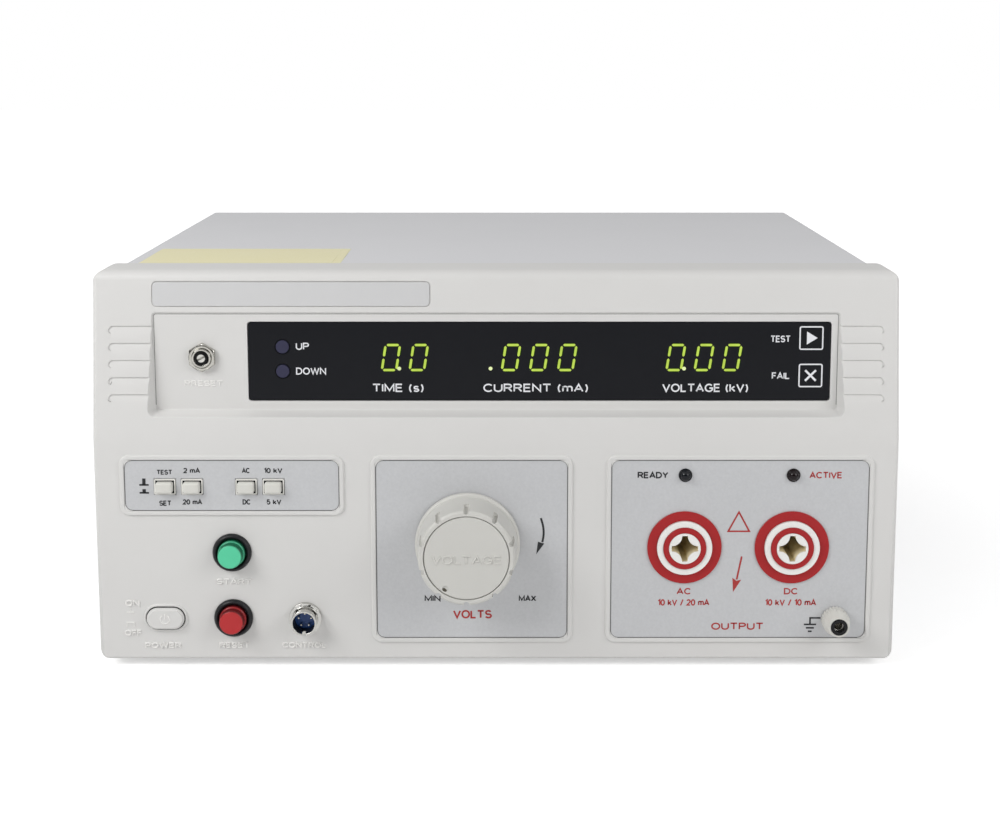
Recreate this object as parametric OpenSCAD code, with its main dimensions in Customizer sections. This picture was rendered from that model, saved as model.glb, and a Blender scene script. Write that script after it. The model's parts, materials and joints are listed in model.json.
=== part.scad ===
// Bench high-voltage insulation tester: plastic front bezel on a sheet-metal case, millimetres.
// +Z is up, the front faces -Y, and the origin is on the floor below the middle of the whole box.
// Panel places are given as x, z from the bezel's lower edge, and depth d behind the lower front face.

/* [Case] */
// Depth from the lower front face to the outside of the rear panel
case_d = 290; // [240:1:340]
// Thickness of the cover, chassis and panel sheet
sheet_t = 1.2; // [0.8:0.1:2]
// Height of the rubber feet
foot_h = 7; // [5:0.5:12]
// Diameter of a rubber foot where it meets the chassis
foot_d = 20; // [14:1:26]
// Distance of each foot's centre from the case's sides
foot_inset = 28; // [18:1:50]
// Length of the case that slips into the bezel
case_insert = 10; // [6:1:14]
// Number of ventilation slots in each side of the cover
vent_n = 12; // [4:1:16]
// Width of a ventilation slot
vent_w = 3; // [2:0.5:4]
// Height of a ventilation slot
vent_h = 42; // [20:1:70]
// Outer radius of the cover's bends
cover_bend = 2.4; // [1.5:0.1:5]
// Head diameter of the case screws
screw_head_d = 7; // [5:0.1:9]
// Height of the case screws' heads
screw_head_h = 2.2; // [1.4:0.1:2.4]

/* [Bezel] */
// Wall thickness of the moulding
wall = 3; // [2:0.25:4]
// Corner radius of the bezel seen from the front
corner_r = 6; // [3:0.5:8]
// Radius of the bezel's lower front edge
edge_r = 1.6; // [0.6:0.2:2.4]
// Radius of the bezel's upper front edge
brow_r = 5.4; // [2:0.2:5.8]
// Radius of the bezel's upright front edges
side_r = 2.4; // [1:0.2:2.8]
// Distance that the upper face leans back at its top edge
lean_d = 10; // [4:0.5:16]
// Depth of the bezel's top surface
bezel_top_d = 24; // [20:0.5:34]
// Radius of the soft fold between the lower and upper face
fold_r = 90; // [40:5:110]
// Height from the panels' top to the fold
fold_gap = 7.3; // [6:0.1:14]
// Height from the fold to the display recess
recess_gap = 12.9; // [10:0.1:18]
// Height of the recess at its back
recess_h = 45.8; // [40:0.1:60]
// Distance from each side of the bezel to the recess at its back
recess_side = 28; // [22:0.5:36]
// Corner radius of the recess at its back
recess_r = 1.4; // [0.6:0.1:3]
// Depth of the display plane behind the lower face
display_d = 8; // [6:0.25:9]
// Draft of the recess walls in degrees
draft = 20; // [8:1:28]
// Height from the recess to the name strip
strip_gap = 3.2; // [3:0.1:8]
// Height of the name strip
strip_h = 11.2; // [8:0.1:14]
// Length of the name strip
strip_w = 129; // [80:1:200]
// Corner radius of the name strip's inset
strip_r = 2.2; // [1:0.1:4]
// Height from the name strip to the bezel's top
top_margin = 5.4; // [4:0.1:12]
// Number of grip grooves on each side
groove_n = 5; // [3:1:5]
// Distance from one grip groove to the next
groove_pitch = 7.9; // [7.2:0.1:8.6]
// Depth of a grip groove at its upper edge
groove_d = 0.9; // [0.5:0.1:1.1]
// Height over which a grip groove fades out
groove_h = 3.6; // [2:0.1:6]
// Distance from the bezel's side to the grooves' outer ends
groove_side = 7.8; // [5:0.1:12]

/* [Panels] */
// Gap from the bezel's left side to the switch panel
panel_left = 12.3; // [8:0.1:20]
// Width of the switch panel's frame
switch_panel_w = 104.5; // [95:0.5:120]
// Height of the switch panel's frame
switch_panel_h = 28.6; // [22:0.1:34]
// Gap from the switch panel to the regulator panel
panel_gap_left = 12.7; // [8:0.1:20]
// Width of the regulator panel's frame
reg_panel_w = 94.1; // [80:0.1:110]
// Gap from the regulator panel to the output panel
panel_gap_right = 16.1; // [8:0.1:20]
// Width of the output panel's frame
out_panel_w = 124.6; // [120:0.1:145]
// Gap from the output panel to the bezel's right side
panel_right = 11.6; // [8:0.1:20]
// Height of the tall panels above the bezel's lower edge
panel_bottom = 8.7; // [5:0.1:14]
// Height of the tall panels' frames
panel_h = 90.6; // [84:0.1:104]
// Width of a frame's raised rib
rib_w = 2; // [1.2:0.1:3]
// Height of a frame's raised rib
rib_rise = 0.9; // [0.4:0.1:1.6]
// Outer corner radius of the frames
frame_r = 4.4; // [3.4:0.1:6]
// Thickness of the label plates
label_t = 0.4; // [0.2:0.05:0.8]

/* [Display] */
// Gap from the recess's left side to the window
window_left = 44.2; // [38:0.1:60]
// Gap from the window to the recess's right side
window_right = 3.8; // [3:0.1:10]
// Gap below the window
window_bottom = 4.2; // [3.5:0.1:6]
// Gap above the window
window_top = 4.5; // [3.5:0.1:6]
// Thickness of the window
window_t = 2; // [1:0.1:3]
// Height of the digit modules
digit_h = 19; // [14:0.5:22]
// Width of one digit in a module
digit_w = 13; // [10:0.1:13.5]
// Diameter of the round keys
key_d = 6.2; // [4:0.1:8]
// Distance between the round keys
key_pitch = 11.6; // [9:0.1:14]
// Travel of the round keys
key_travel = 0.4; // [0.2:0.05:0.6]
// Side of the lamp blocks behind the lit boxes
signal_w = 9.6; // [7:0.1:9.6]
// Across-flats width of the preset control's nut
preset_nut_w = 12; // [11:0.5:14]
// Diameter of the preset control's threaded bush
preset_bush_d = 9; // [8:0.25:10]
// Diameter of the preset control's shaft
preset_shaft_d = 4.4; // [3:0.1:5]

/* [Buttons] */
// Width of a latching button
latch_w = 8.2; // [7:0.1:9.6]
// Height of a latching button
latch_h = 5.6; // [4:0.1:8]
// Distance between the buttons of a pair
latch_pitch = 12.7; // [12.4:0.1:15]
// Distance between the pairs
pair_pitch = 38; // [28:0.5:40]
// Travel of a latching button
latch_travel = 3; // [1:0.1:3.4]
// Diameter of the start and reset rings
push_ring_d = 18.4; // [17:0.1:24]
// Diameter of the start and reset caps
push_cap_d = 12.8; // [10:0.1:13.2]
// Step from the start and reset caps' collars in to their front part
push_step = 0.7; // [0.4:0.1:1.2]
// Distance that the start and reset caps stand out from the face
push_cap_out = 7.6; // [6.4:0.1:9]
// Travel of the start and reset caps
push_travel = 3; // [1:0.1:3.2]
// Width of the power button
power_w = 17.7; // [14:0.1:22]
// Height of the power button
power_h = 10.3; // [8:0.1:14]
// Distance that the power button stands out from the face
power_out = 2.6; // [2:0.1:5]
// Travel of the power button
power_travel = 2; // [1:0.1:2.4]

/* [Regulator] */
// Diameter of the knob's skirt
knob_d = 49.2; // [47.6:0.1:54]
// Length of the knob
knob_len = 22; // [18:0.5:28]
// Diameter of the knob's front cap
knob_cap_d = 39.6; // [34:0.1:40]
// Number of finger notches in the knob's front edge
notch_n = 10; // [6:1:12]
// Diameter of the regulator shaft
shaft_d = 8; // [6:0.5:10]
// Outer diameter of the variable transformer's winding
variac_d = 84; // [70:1:90]
// Length of the variable transformer's winding
variac_len = 34; // [24:1:46]

/* [Output] */
// Distance between the high-voltage sockets
socket_pitch = 50.4; // [40:0.1:56]
// Diameter of the red ring round a socket
ring_d = 34.9; // [30:0.1:38]
// Diameter of the white insulator's flange
insulator_d = 25.8; // [24:0.1:28]
// Outer diameter of the inner red sleeve
sleeve_d = 20; // [18:0.1:21]
// Diameter of the white core
core_d = 14.8; // [14.6:0.1:16]
// Tip-to-tip width of the four-point contact hole
star_w = 12.4; // [11.4:0.1:12.6]
// Depth of the contact hole behind the lower face
star_d = 28; // [18:1:34]
// Diameter of the indicator lamps' lenses
lamp_d = 5; // [3:0.1:6]
// Diameter of the earth post's ivory nut
earth_nut_d = 12.8; // [11:0.1:15]
// Diameter of the ivory nut at its front end
earth_tip_d = 9.6; // [9:0.1:11]
// Length of the earth post's ivory nut
earth_nut_len = 10.4; // [8:0.1:14]
// Diameter of the earth post's plug bore
earth_bore_d = 4; // [3:0.1:4.2]

/* [Control socket] */
// Outer diameter of the control socket's barrel
control_d = 12.2; // [11.4:0.1:14]
// Distance that the barrel stands out from the face
control_out = 8; // [7.6:0.1:11]
// Number of pins
control_pin_n = 5; // [3:1:7]

/* [Hidden] */
$fn = 96;
// slip clearance between fixed pieces, running clearance of shafts, and clearance of moving pieces
slip = 0.25;
run = 0.05;
clear = 0.3;
// overlap of a cut past the face that it opens
over = 1;

// overall bezel size, which follows the panels in it
bezel_w = panel_left + switch_panel_w + panel_gap_left + reg_panel_w
    + panel_gap_right + out_panel_w + panel_right;
fold_z = panel_bottom + panel_h + fold_gap;
recess_z0 = fold_z + recess_gap;
recess_z1 = recess_z0 + recess_h;
strip_z = recess_z1 + strip_gap;
bezel_h = strip_z + strip_h + top_margin;
bezel_d = lean_d + bezel_top_d;
lean_a = atan(lean_d / (bezel_h - fold_z));
inner_half = bezel_w / 2 - wall;

// sheet-metal case inside the bezel's skirt
case_half = inner_half - slip;
case_z0 = wall + slip;
case_z1 = bezel_h - wall - slip;
floor_z = case_z0 + sheet_t;
cover_d0 = bezel_d - case_insert;
sub_d = bezel_d - 4;
sub_back = sub_d + sheet_t;
tray_half = case_half - sheet_t - slip;
lip_h = 16;
base_z = foot_h - case_z0;
hollow_r = 3 * slip;
vent_pitch = 2.6 * vent_w;
vent_back_gap = 40;
vent_rise = 14;

// case screws: through the cover's sides into the tray, and through the rear panel
screw_d = 4;
screw_len = 8;
screw_slot = [1.1, 1];
screw_z = floor_z + lip_h / 2;
screw_depths = [bezel_d + 22, (bezel_d + case_d) / 2, case_d - 22];
rear_screw_x = tray_half - 12;
rear_screw_z = [case_z0 + 14, case_z1 - 14];

// display recess, its tub and what stands in it
recess_half = bezel_w / 2 - recess_side;
tub_wall = 2.4;
ledge_t = 2;
tub_back = display_d + window_t + ledge_t;
window_x0 = -recess_half + window_left;
window_x1 = recess_half - window_right;
window_x = (window_x0 + window_x1) / 2;
window_w = window_x1 - window_x0;
window_h = recess_h - window_bottom - window_top;
window_z = recess_z0 + window_bottom + window_h / 2;
window_r = 1.2;
ledge_w = 2.4;
module_d0 = display_d + window_t + clear;
module_t = 7.5;
board_d = module_d0 + module_t;
board_t = 1.6;
digit_z = window_z + 1.9;
digit_groups = [[-62.8, 2], [0.1, 3], [77, 3]];
signal_x = window_x1 - 9.1;
signal_dz = [11.1, -6.7];
key_x = window_x0 + 16;
key_z = window_z + 1.2;
key_out = 0.6;
key_end = module_d0 + module_t - 2;
tact_w = 6;
tact_t = 2 - clear - key_travel;
preset_x = -recess_half + 22.8;
preset_z = window_z + 2.2;
preset_nut_t = 2.6;
preset_nut_slope = 60;
preset_bush_out = 3.6;
preset_body_d = 16;
preset_body_t = 10;

// places of the panels
switch_x = -bezel_w / 2 + panel_left + switch_panel_w / 2;
switch_z = panel_bottom + panel_h - switch_panel_h / 2;
reg_x = switch_x + switch_panel_w / 2 + panel_gap_left + reg_panel_w / 2;
out_x = bezel_w / 2 - panel_right - out_panel_w / 2;
tall_z = panel_bottom + panel_h / 2;

// latching buttons
latch_first = switch_x - switch_panel_w / 2 + 21;
latch_z = switch_z - 0.55;
latch_x = [for (p = [0, 1], b = [0, 1]) latch_first + p * pair_pitch + b * latch_pitch];
latch_frame_wall = 0.55;
latch_hole_w = latch_w + 2 * clear;
latch_hole_h = latch_h + 2 * clear;
latch_frame_w = latch_hole_w + 2 * latch_frame_wall;
latch_frame_h = latch_hole_h + 2 * latch_frame_wall;
latch_frame_out = label_t + 0.5;
latch_out = latch_frame_out + latch_travel + 0.2;
latch_end = 6;
latch_pocket = latch_end + latch_travel + clear;
latch_body_h = latch_frame_h + 3;
latch_body_len = 20;

// start, reset and power buttons and the control socket share one column and one row
push_x = switch_x - 0.65;
row_z = panel_bottom + 11.9;
start_z = row_z + 32;
push_ring_out = 2.2;
push_bore = push_cap_d + 2 * clear;
push_barrel_d = push_bore + 2;
push_end = 5;
push_pocket = push_end + push_travel + clear;
push_body_len = 22;
power_x = push_x - 32;
power_gap = 0.45;
power_hole_w = power_w + 2 * power_gap;
power_hole_h = power_h + 2 * power_gap;
power_end = 6;
power_pocket = power_end + power_travel + clear;
power_body_len = 24;
control_x = push_x + 34;
control_bore = control_d - 2;
control_flange_d = control_d + 3.2;
control_flange_t = 2;
control_pin_d = 1;
control_insert_out = 1;
control_pin_len = control_out - control_insert_out - 4.6;
control_back = 12;

// regulator
knob_x = reg_x - 1.95;
knob_z = tall_z + 3.2;
knob_gap = 0.5;
knob_back = label_t + knob_gap;
knob_front = knob_back + knob_len;
knob_cap_t = 1.6;
knob_seam = 0.4;
skirt_t = 3;
knob_rim = 2.4;
index_a = 236;
notch_w = 2.6;
notch_in = 0.4;
notch_len = 9;
shaft_in_knob = knob_front - 5;
shaft_hole = shaft_d + 4;
variac_plate_t = 4;
variac_d0 = sub_back + variac_plate_t;
variac_d1 = variac_d0 + variac_len;
variac_hub_d = shaft_d + 8;
variac_hole_d = variac_hub_d + 20;
arm_t = 6;
arm_d0 = variac_d1 + clear;

// high-voltage output
socket_x = [for (s = [-1, 1]) out_x - 0.5 + s * socket_pitch / 2];
socket_z = tall_z + 1.2;
ring_t = 0.8;
insulator_out = 2.4;
sleeve_out = 3;
core_out = 3.2;
tube_d = insulator_d - 2.8;
tube_end = 52;
sleeve_end = 12;
liner_t = 0.5;
liner_lip = 1;
star_gap = 1.3;
lamp_z = panel_bottom + panel_h - 9.3;
lamp_flange = lamp_d + 1.4;
lamp_flange_t = 0.6;
lamp_len = 12;
earth_x = out_x + out_panel_w / 2 - 16.5;
earth_z = panel_bottom + 11.3;
earth_stud_d = 6;
earth_nut_gap = 0.3;
earth_grip_len = 4.6;
earth_nut_out = label_t + earth_nut_gap + earth_nut_len;
earth_cap_d = 7.8;
earth_cap_t = 2;
earth_cap_out = 0.4;
earth_collar_d = 11;
earth_collar_t = 2;
earth_end = 14;

// mains inlet on the rear panel
inlet_side = 84.7;
inlet_x = case_half - inlet_side;
inlet_z = 38;
inlet_w = 50;
inlet_h = 34;
inlet_t = 2.6;
inlet_body_w = 29;
inlet_body_h = 31;
inlet_body_len = 24;
inlet_r = 2;
cavity_w = 24.4;
cavity_h = 16.4;
cavity_cut = 4;
cavity_len = 18.6;
cavity_z = 5.6;
blade = [4, 2];
blade_len = 12.4;
blade_root = 3;
blade_dx = 7;
blade_dz = 2;
drawer_w = 23;
drawer_h = 8;
drawer_z = -9.6;
drawer_len = 20;
drawer_lip = 1.4;

// heavier pieces inside the case
core_side_gap = 31.7;
core_back_gap = 52;
iron = [96, 44, 80];
core_x = case_half - core_side_gap - iron[0] / 2;
iron_window = [16, 48];
leg_w = 32;
coil_wall = 15;
board_side_gap = 14.7;
board_back_gap = 30;
pcb = [110, 130, 1.6];
board_x = -case_half + board_side_gap + pcb[0] / 2;
board_mid = case_d - board_back_gap - pcb[1] / 2;
standoff_d = 6;
standoff_h = 10;
standoff_inset = 6;
can = [18, 30];
can_d = board_mid - 40;
relay = [20, 16, 19];
relay_d = board_mid - 8;
sink = [60, 12, 34];
sink_d = board_mid + 30;
part_pitch = 27;
block_size = [46, 40, 34];
block_back = tube_end + 24;

// the middle of the box in depth is the origin
front_out = knob_front;
rear_out = inlet_t + drawer_lip;
face_y = (front_out - case_d - rear_out) / 2;

// local XY lies in the panel with Y up, and local Z points out of the panel
module on_panel(x, z, d = 0) {
    translate([x, face_y + d, base_z + z]) rotate([90, 0, 0]) children();
}

// a panel-plane outline made solid from depth d0 to depth d1
module slab(x, z, d0, d1) {
    on_panel(x, z, d1) linear_extrude(d1 - d0) children();
}

// the same frame on the leaning upper face, with z measured along the face from the fold
module on_lean(x, z) {
    translate([x, face_y, base_z + fold_z]) rotate([90 - lean_a, 0, 0]) translate([0, z, 0]) children();
}

// local XY on the rear panel with Y up, and local Z pointing out behind
module on_rear(x, z) {
    translate([x, face_y + case_d, base_z + z]) rotate([90, 0, 180]) children();
}

// an outline in depth and height made solid across the width
module across(w, x = 0) {
    translate([x, face_y, base_z]) rotate([90, 0, 90]) linear_extrude(w, center = true) children();
}

// a box between two corners given as x, depth and z
module block(low, high) {
    translate([low[0], face_y + low[1], base_z + low[2]]) cube(high - low);
}

module rounded_rect(w, h, r) {
    square([w - 2 * r, h], center = true);
    square([w, h - 2 * r], center = true);
    for (sx = [-1, 1], sy = [-1, 1]) {
        translate([sx * (w / 2 - r), sy * (h / 2 - r)]) circle(r);
    }
}

module stadium(w, h) {
    square([w - h, h], center = true);
    for (s = [-1, 1]) translate([s * (w - h) / 2, 0]) circle(h / 2);
}

module frame_ring(w, h) {
    difference() {
        rounded_rect(w, h, frame_r);
        rounded_rect(w - 2 * rib_w, h - 2 * rib_w, frame_r - rib_w);
    }
}

// depth of the leaning face at height z
function lean_at(z) = max(0, (z - fold_z) * tan(lean_a));

// side outline of the bezel: rounded bottom edge, upright face, soft fold, leaning face, rounded brow
function arc(cx, cy, r, a0, a1, n) =
    [for (i = [0 : n]) let (a = a0 + (a1 - a0) * i / n) [cx + r * cos(a), cy + r * sin(a)]];
fold_len = fold_r * tan(lean_a / 2);
module bezel_profile() {
    brow_c = lean_at(bezel_h) + brow_r * (1 - sin(lean_a)) / cos(lean_a);
    polygon(concat(
        arc(edge_r, edge_r, edge_r, 270, 180, 6),
        arc(fold_r, fold_z - fold_len, fold_r, 180, 180 - lean_a, 8),
        arc(brow_c, bezel_h - brow_r, brow_r, 180 - lean_a, 90, 12),
        [[bezel_d, bezel_h], [bezel_d, 0]]));
}

// the hollow behind the bezel's walls
module bezel_hollow() {
    polygon([[wall, wall], [wall, fold_z], [lean_at(bezel_h) + wall, bezel_h],
        [lean_at(bezel_h) + wall, bezel_h - wall], [bezel_d + over, bezel_h - wall],
        [bezel_d + over, wall]]);
}

module bezel_outline(inset, r) {
    translate([0, bezel_h / 2]) rounded_rect(bezel_w - 2 * inset, bezel_h - 2 * inset, r);
}

// plan of the bezel from its face back to depth d, with its upright front edges rounded
module bezel_plan(d) {
    translate([side_r - bezel_w / 2, 0]) square([bezel_w - 2 * side_r, d]);
    translate([-bezel_w / 2, side_r]) square([bezel_w, d - side_r]);
    for (s = [-1, 1]) translate([s * (bezel_w / 2 - side_r), side_r]) circle(side_r);
}

// the upright edges are rounded along the lower face and again along the leaning one
module bezel_mass() {
    intersection() {
        slab(0, 0, 0, bezel_d) bezel_outline(0, corner_r);
        across(bezel_w) bezel_profile();
        translate([0, face_y, base_z]) linear_extrude(bezel_h) bezel_plan(bezel_d);
        translate([0, face_y, base_z + fold_z]) rotate([-lean_a, 0, 0])
            linear_extrude(3 * bezel_h, center = true) bezel_plan(2 * bezel_d);
    }
}

// the recess with drafted walls and round corners, and the tub that carries it when grown
module recess_form(grow, back) {
    flare = (back + over) * tan(draft);
    r = recess_r + grow;
    half = recess_half + grow;
    z0 = recess_z0 - grow;
    z1 = recess_z1 + grow;
    across(2 * (half - r)) polygon([[back, z0], [back, z1], [-over, z1 + flare], [-over, z0 - flare]]);
    translate([0, face_y, base_z + z0 + r]) linear_extrude(z1 - z0 - 2 * r)
        polygon([[-half, back], [half, back], [half + flare, -over], [-half - flare, -over]]);
    for (sx = [-1, 1], z = [z0 + r, z1 - r]) {
        on_panel(sx * (half - r), z, back) cylinder(h = back + over, r1 = r, r2 = r + flare);
    }
}

// one grip groove: deep at its upper edge, fading out below, with a round outer end
module groove(side, z) {
    len = bezel_w / 2 - groove_side - recess_half;
    mid = side * (recess_half + len / 2);
    r = groove_h / 2;
    fade = groove_h - slip;
    intersection() {
        across(len + 2 * over, mid)
            polygon([[lean_at(z - fade) - over, z - fade], [lean_at(z - fade), z - fade],
                [lean_at(z + over) + groove_d * (fade + over) / fade, z + over],
                [lean_at(z - fade) - over, z + over]]);
        slab(mid, z - r, -over, bezel_d) {
            translate([-side * r / 2, 0]) square([len - r, groove_h], center = true);
            translate([side * (len / 2 - r), 0]) circle(r);
        }
    }
}

module board_corners() {
    post_inset = 5;
    for (sx = [-1, 1], sz = [-1, 1]) {
        translate([sx * (window_w / 2 - ledge_w - post_inset), sz * (window_h / 2 + over)]) children();
    }
}

module front_bezel() {
    boss_d = 8;
    boss_in = 11;
    post_d = 5.2;
    groove_top = 6.1;
    color("#d6d5d1") difference() {
        union() {
            difference() {
                bezel_mass();
                intersection() {
                    slab(0, 0, -over, bezel_d + over) bezel_outline(wall, hollow_r);
                    across(bezel_w) bezel_hollow();
                }
            }
            // tub behind the recess, posts for the display board and corner posts for the sub-panel
            intersection() {
                bezel_mass();
                union() {
                    recess_form(tub_wall, tub_back);
                    for (sx = [-1, 1], z = [boss_in, bezel_h - boss_in]) {
                        slab(sx * (bezel_w / 2 - boss_in), z, 0, sub_d) circle(d = boss_d);
                    }
                }
            }
            slab(window_x, window_z, tub_back - over, board_d) board_corners() circle(d = post_d);
            // raised frames and the power button's rim
            slab(switch_x, switch_z, -rib_rise, wall) frame_ring(switch_panel_w, switch_panel_h);
            slab(reg_x, tall_z, -rib_rise, wall) frame_ring(reg_panel_w, panel_h);
            slab(out_x, tall_z, -rib_rise, wall) frame_ring(out_panel_w, panel_h);
            slab(power_x, row_z, -rib_rise, wall) stadium(power_hole_w + rib_w, power_hole_h + rib_w);
        }
        recess_form(0, display_d);
        for (side = [-1, 1], i = [0 : groove_n - 1]) groove(side, recess_z1 - groove_top - i * groove_pitch);
        // window seat and the opening behind it
        slab(window_x, window_z, display_d - over, display_d + window_t)
            rounded_rect(window_w + 2 * slip, window_h + 2 * slip, window_r + slip);
        slab(window_x, window_z, display_d, tub_back + over)
            square([window_w - 2 * ledge_w, window_h - 2 * ledge_w], center = true);
        slab(preset_x, preset_z, display_d - over, tub_back + over) circle(d = preset_bush_d + 2 * slip);
        on_lean(-recess_half + strip_w / 2, (strip_z - fold_z) / cos(lean_a) + strip_h / 2)
            translate([0, 0, -label_t]) linear_extrude(label_t + over)
            rounded_rect(strip_w + 2 * slip, strip_h + 2 * slip, strip_r);
        // holes for what comes through the lower face
        for (x = latch_x) {
            slab(x, latch_z, -over, wall + over)
                square([latch_frame_w + 2 * slip, latch_frame_h + 2 * slip], center = true);
        }
        for (z = [row_z, start_z]) slab(push_x, z, -over, wall + over) circle(d = push_barrel_d + 2 * slip);
        slab(power_x, row_z, -rib_rise - over, wall + over) stadium(power_hole_w, power_hole_h);
        slab(control_x, row_z, -over, wall + over) circle(d = control_d + 2 * slip);
        slab(knob_x, knob_z, -over, wall + over) circle(d = shaft_hole);
        for (x = socket_x) {
            slab(x, socket_z, -over, wall + over) circle(d = tube_d + 2 * slip);
            slab(x, lamp_z, -over, wall + over) circle(d = lamp_d + 2 * slip);
        }
        slab(earth_x, earth_z, -over, wall + over) circle(d = earth_stud_d + 2 * slip);
    }
}

// sheet steel behind the bezel, which carries the regulator and lets the output tubes through
module front_subpanel() {
    wire_gap_in = 26;
    color("#b9bcbf") difference() {
        block([-tray_half, sub_d, floor_z], [tray_half, sub_back, case_z1 - sheet_t - slip]);
        slab(knob_x, knob_z, sub_d - over, sub_back + over) circle(d = shaft_hole);
        for (x = socket_x) slab(x, socket_z, sub_d - over, sub_back + over) circle(d = tube_d + 2 * over);
        slab(0, window_z, sub_d - over, sub_back + over)
            square([window_w - 2 * wire_gap_in, window_h], center = true);
    }
}

// bottom tray with a lip along each side that takes the cover's screws
module base_chassis() {
    color("#c9cacb") difference() {
        union() {
            block([-tray_half, cover_d0, case_z0], [tray_half, case_d - sheet_t, floor_z]);
            for (x = [-tray_half, tray_half - sheet_t]) {
                block([x, sub_back + slip, floor_z], [x + sheet_t, case_d - sheet_t - slip, floor_z + lip_h]);
            }
        }
        screw_holes(2 * run);
    }
}

// holes across the case for the screws that hold the cover's sides
module screw_holes(play) {
    across(2 * case_half + 2 * over) for (d = screw_depths) translate([d, screw_z]) circle(d = screw_d + play);
}

// outline of the folded cover seen from the front, open at the bottom
module cover_outline(inset, drop, r) {
    w = 2 * (case_half - inset);
    h = case_z1 - inset - case_z0 + drop;
    translate([0, case_z0 - drop + h / 2]) rounded_rect(w, h, r);
    translate([-w / 2, case_z0 - drop]) square([w, h / 2]);
}

// folded cover: top and two sides with round bends, and a row of slots low in each side
module top_cover() {
    first = case_d - vent_back_gap - (vent_n - 1) * vent_pitch;
    vent_z = floor_z + lip_h + vent_rise + vent_h / 2;
    color("#cdced0") difference() {
        slab(0, 0, cover_d0, case_d) cover_outline(0, 0, cover_bend);
        slab(0, 0, cover_d0 - over, case_d + over) cover_outline(sheet_t, over, cover_bend - sheet_t);
        for (i = [0 : vent_n - 1]) {
            across(2 * case_half + 2 * over)
                translate([first + i * vent_pitch, vent_z]) rotate(90) stadium(vent_h, vent_w);
        }
        screw_holes(2 * slip);
    }
}

// rear panel with the inlet's cut-out, a block of slots and its screw holes
module rear_panel() {
    vent_x = -tray_half + vent_back_gap;
    vent_z = (case_z0 + case_z1) / 2;
    color("#c9cacb") difference() {
        slab(0, 0, case_d - sheet_t, case_d)
            cover_outline(sheet_t + slip, 0, cover_bend - sheet_t);
        slab(inlet_x, inlet_z, case_d - sheet_t - over, case_d + over)
            square([inlet_body_w + 2 * slip, inlet_body_h + 2 * slip], center = true);
        for (i = [0 : vent_n - 1]) {
            slab(vent_x + i * vent_pitch, vent_z, case_d - sheet_t - over, case_d + over)
                rotate(90) stadium(vent_h, vent_w);
        }
        for (sx = [-1, 1], z = rear_screw_z) {
            slab(sx * rear_screw_x, z, case_d - sheet_t - over, case_d + over) circle(d = screw_d + 2 * slip);
        }
    }
}

// slotted pan-head screw along Z, with the underside of its head at zero
module case_screw() {
    bevel = 0.6;
    r = screw_head_d / 2;
    difference() {
        rotate_extrude() polygon([[0, -screw_len], [screw_d / 2, -screw_len], [screw_d / 2, 0], [r, 0],
            [r, screw_head_h - 2 * bevel], [r - bevel, screw_head_h - bevel / 2],
            [r - 2 * bevel, screw_head_h], [0, screw_head_h]]);
        translate([-r - over, -screw_slot[0] / 2, screw_head_h - screw_slot[1]])
            cube([2 * r + 2 * over, screw_slot[0], screw_slot[1] + over]);
    }
}

module case_screws() {
    color("#c3c6c9") {
        for (side = [-1, 1], d = screw_depths) {
            translate([side * case_half, face_y + d, base_z + screw_z]) rotate([0, side * 90, 0])
                case_screw();
        }
        for (sx = [-1, 1], z = rear_screw_z) on_rear(sx * rear_screw_x, z) case_screw();
    }
}

module rubber_feet() {
    taper = 3;
    color("#26262a") for (sx = [-1, 1], d = [bezel_d + foot_inset, case_d - foot_inset]) {
        translate([sx * (case_half - foot_inset), face_y + d, 0])
            cylinder(h = foot_h, d1 = foot_d - taper, d2 = foot_d);
    }
}

module display_window() {
    color("#1d1e22") difference() {
        slab(window_x, window_z, display_d, display_d + window_t)
            rounded_rect(window_w, window_h, window_r);
        for (s = [-1, 1]) {
            slab(key_x, key_z + s * key_pitch / 2, display_d - over, display_d + window_t + over)
                circle(d = key_d + 2 * clear);
        }
    }
}

module name_strip() {
    color("#d2d3d4") on_lean(-recess_half + strip_w / 2, (strip_z - fold_z) / cos(lean_a) + strip_h / 2)
        translate([0, 0, -label_t]) linear_extrude(label_t) rounded_rect(strip_w, strip_h, strip_r - slip);
}

// a label plate lies inside the frame whose outer size is given
module label_plate(x, z, w, h) {
    inset = 2 * (rib_w + slip);
    slab(x, z, -label_t, 0) rounded_rect(w - inset, h - inset, frame_r - rib_w - slip);
}

module switch_label() {
    color("#c0c3c6") difference() {
        label_plate(switch_x, switch_z, switch_panel_w, switch_panel_h);
        for (x = latch_x) {
            slab(x, latch_z, -over, over)
                square([latch_frame_w + 2 * slip, latch_frame_h + 2 * slip], center = true);
        }
    }
}

module regulator_label() {
    color("#c0c3c6") difference() {
        label_plate(reg_x, tall_z, reg_panel_w, panel_h);
        slab(knob_x, knob_z, -over, over) circle(d = shaft_hole);
    }
}

module output_label() {
    color("#c0c3c6") difference() {
        label_plate(out_x, tall_z, out_panel_w, panel_h);
        for (x = socket_x) {
            slab(x, socket_z, -over, over) circle(d = tube_d + 2 * slip);
            slab(x, lamp_z, -over, over) circle(d = lamp_d + 2 * slip);
        }
        slab(earth_x, earth_z, -over, over) circle(d = earth_stud_d + 2 * slip);
    }
}

// circuit board behind the window with the two key switches on it
module display_board() {
    color("#2f6b46") {
        slab(window_x, window_z, board_d, board_d + board_t)
            square([window_w - 2 * ledge_w, window_h + 2 * ledge_w + 2 * over], center = true);
        for (s = [-1, 1]) {
            slab(key_x, key_z + s * key_pitch / 2, board_d - tact_t, board_d) square(tact_w, center = true);
        }
    }
}

module digit_modules() {
    color("#3a3b3d") for (g = digit_groups) {
        slab(window_x + g[0], digit_z, module_d0, board_d) square([g[1] * digit_w, digit_h], center = true);
    }
}

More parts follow.
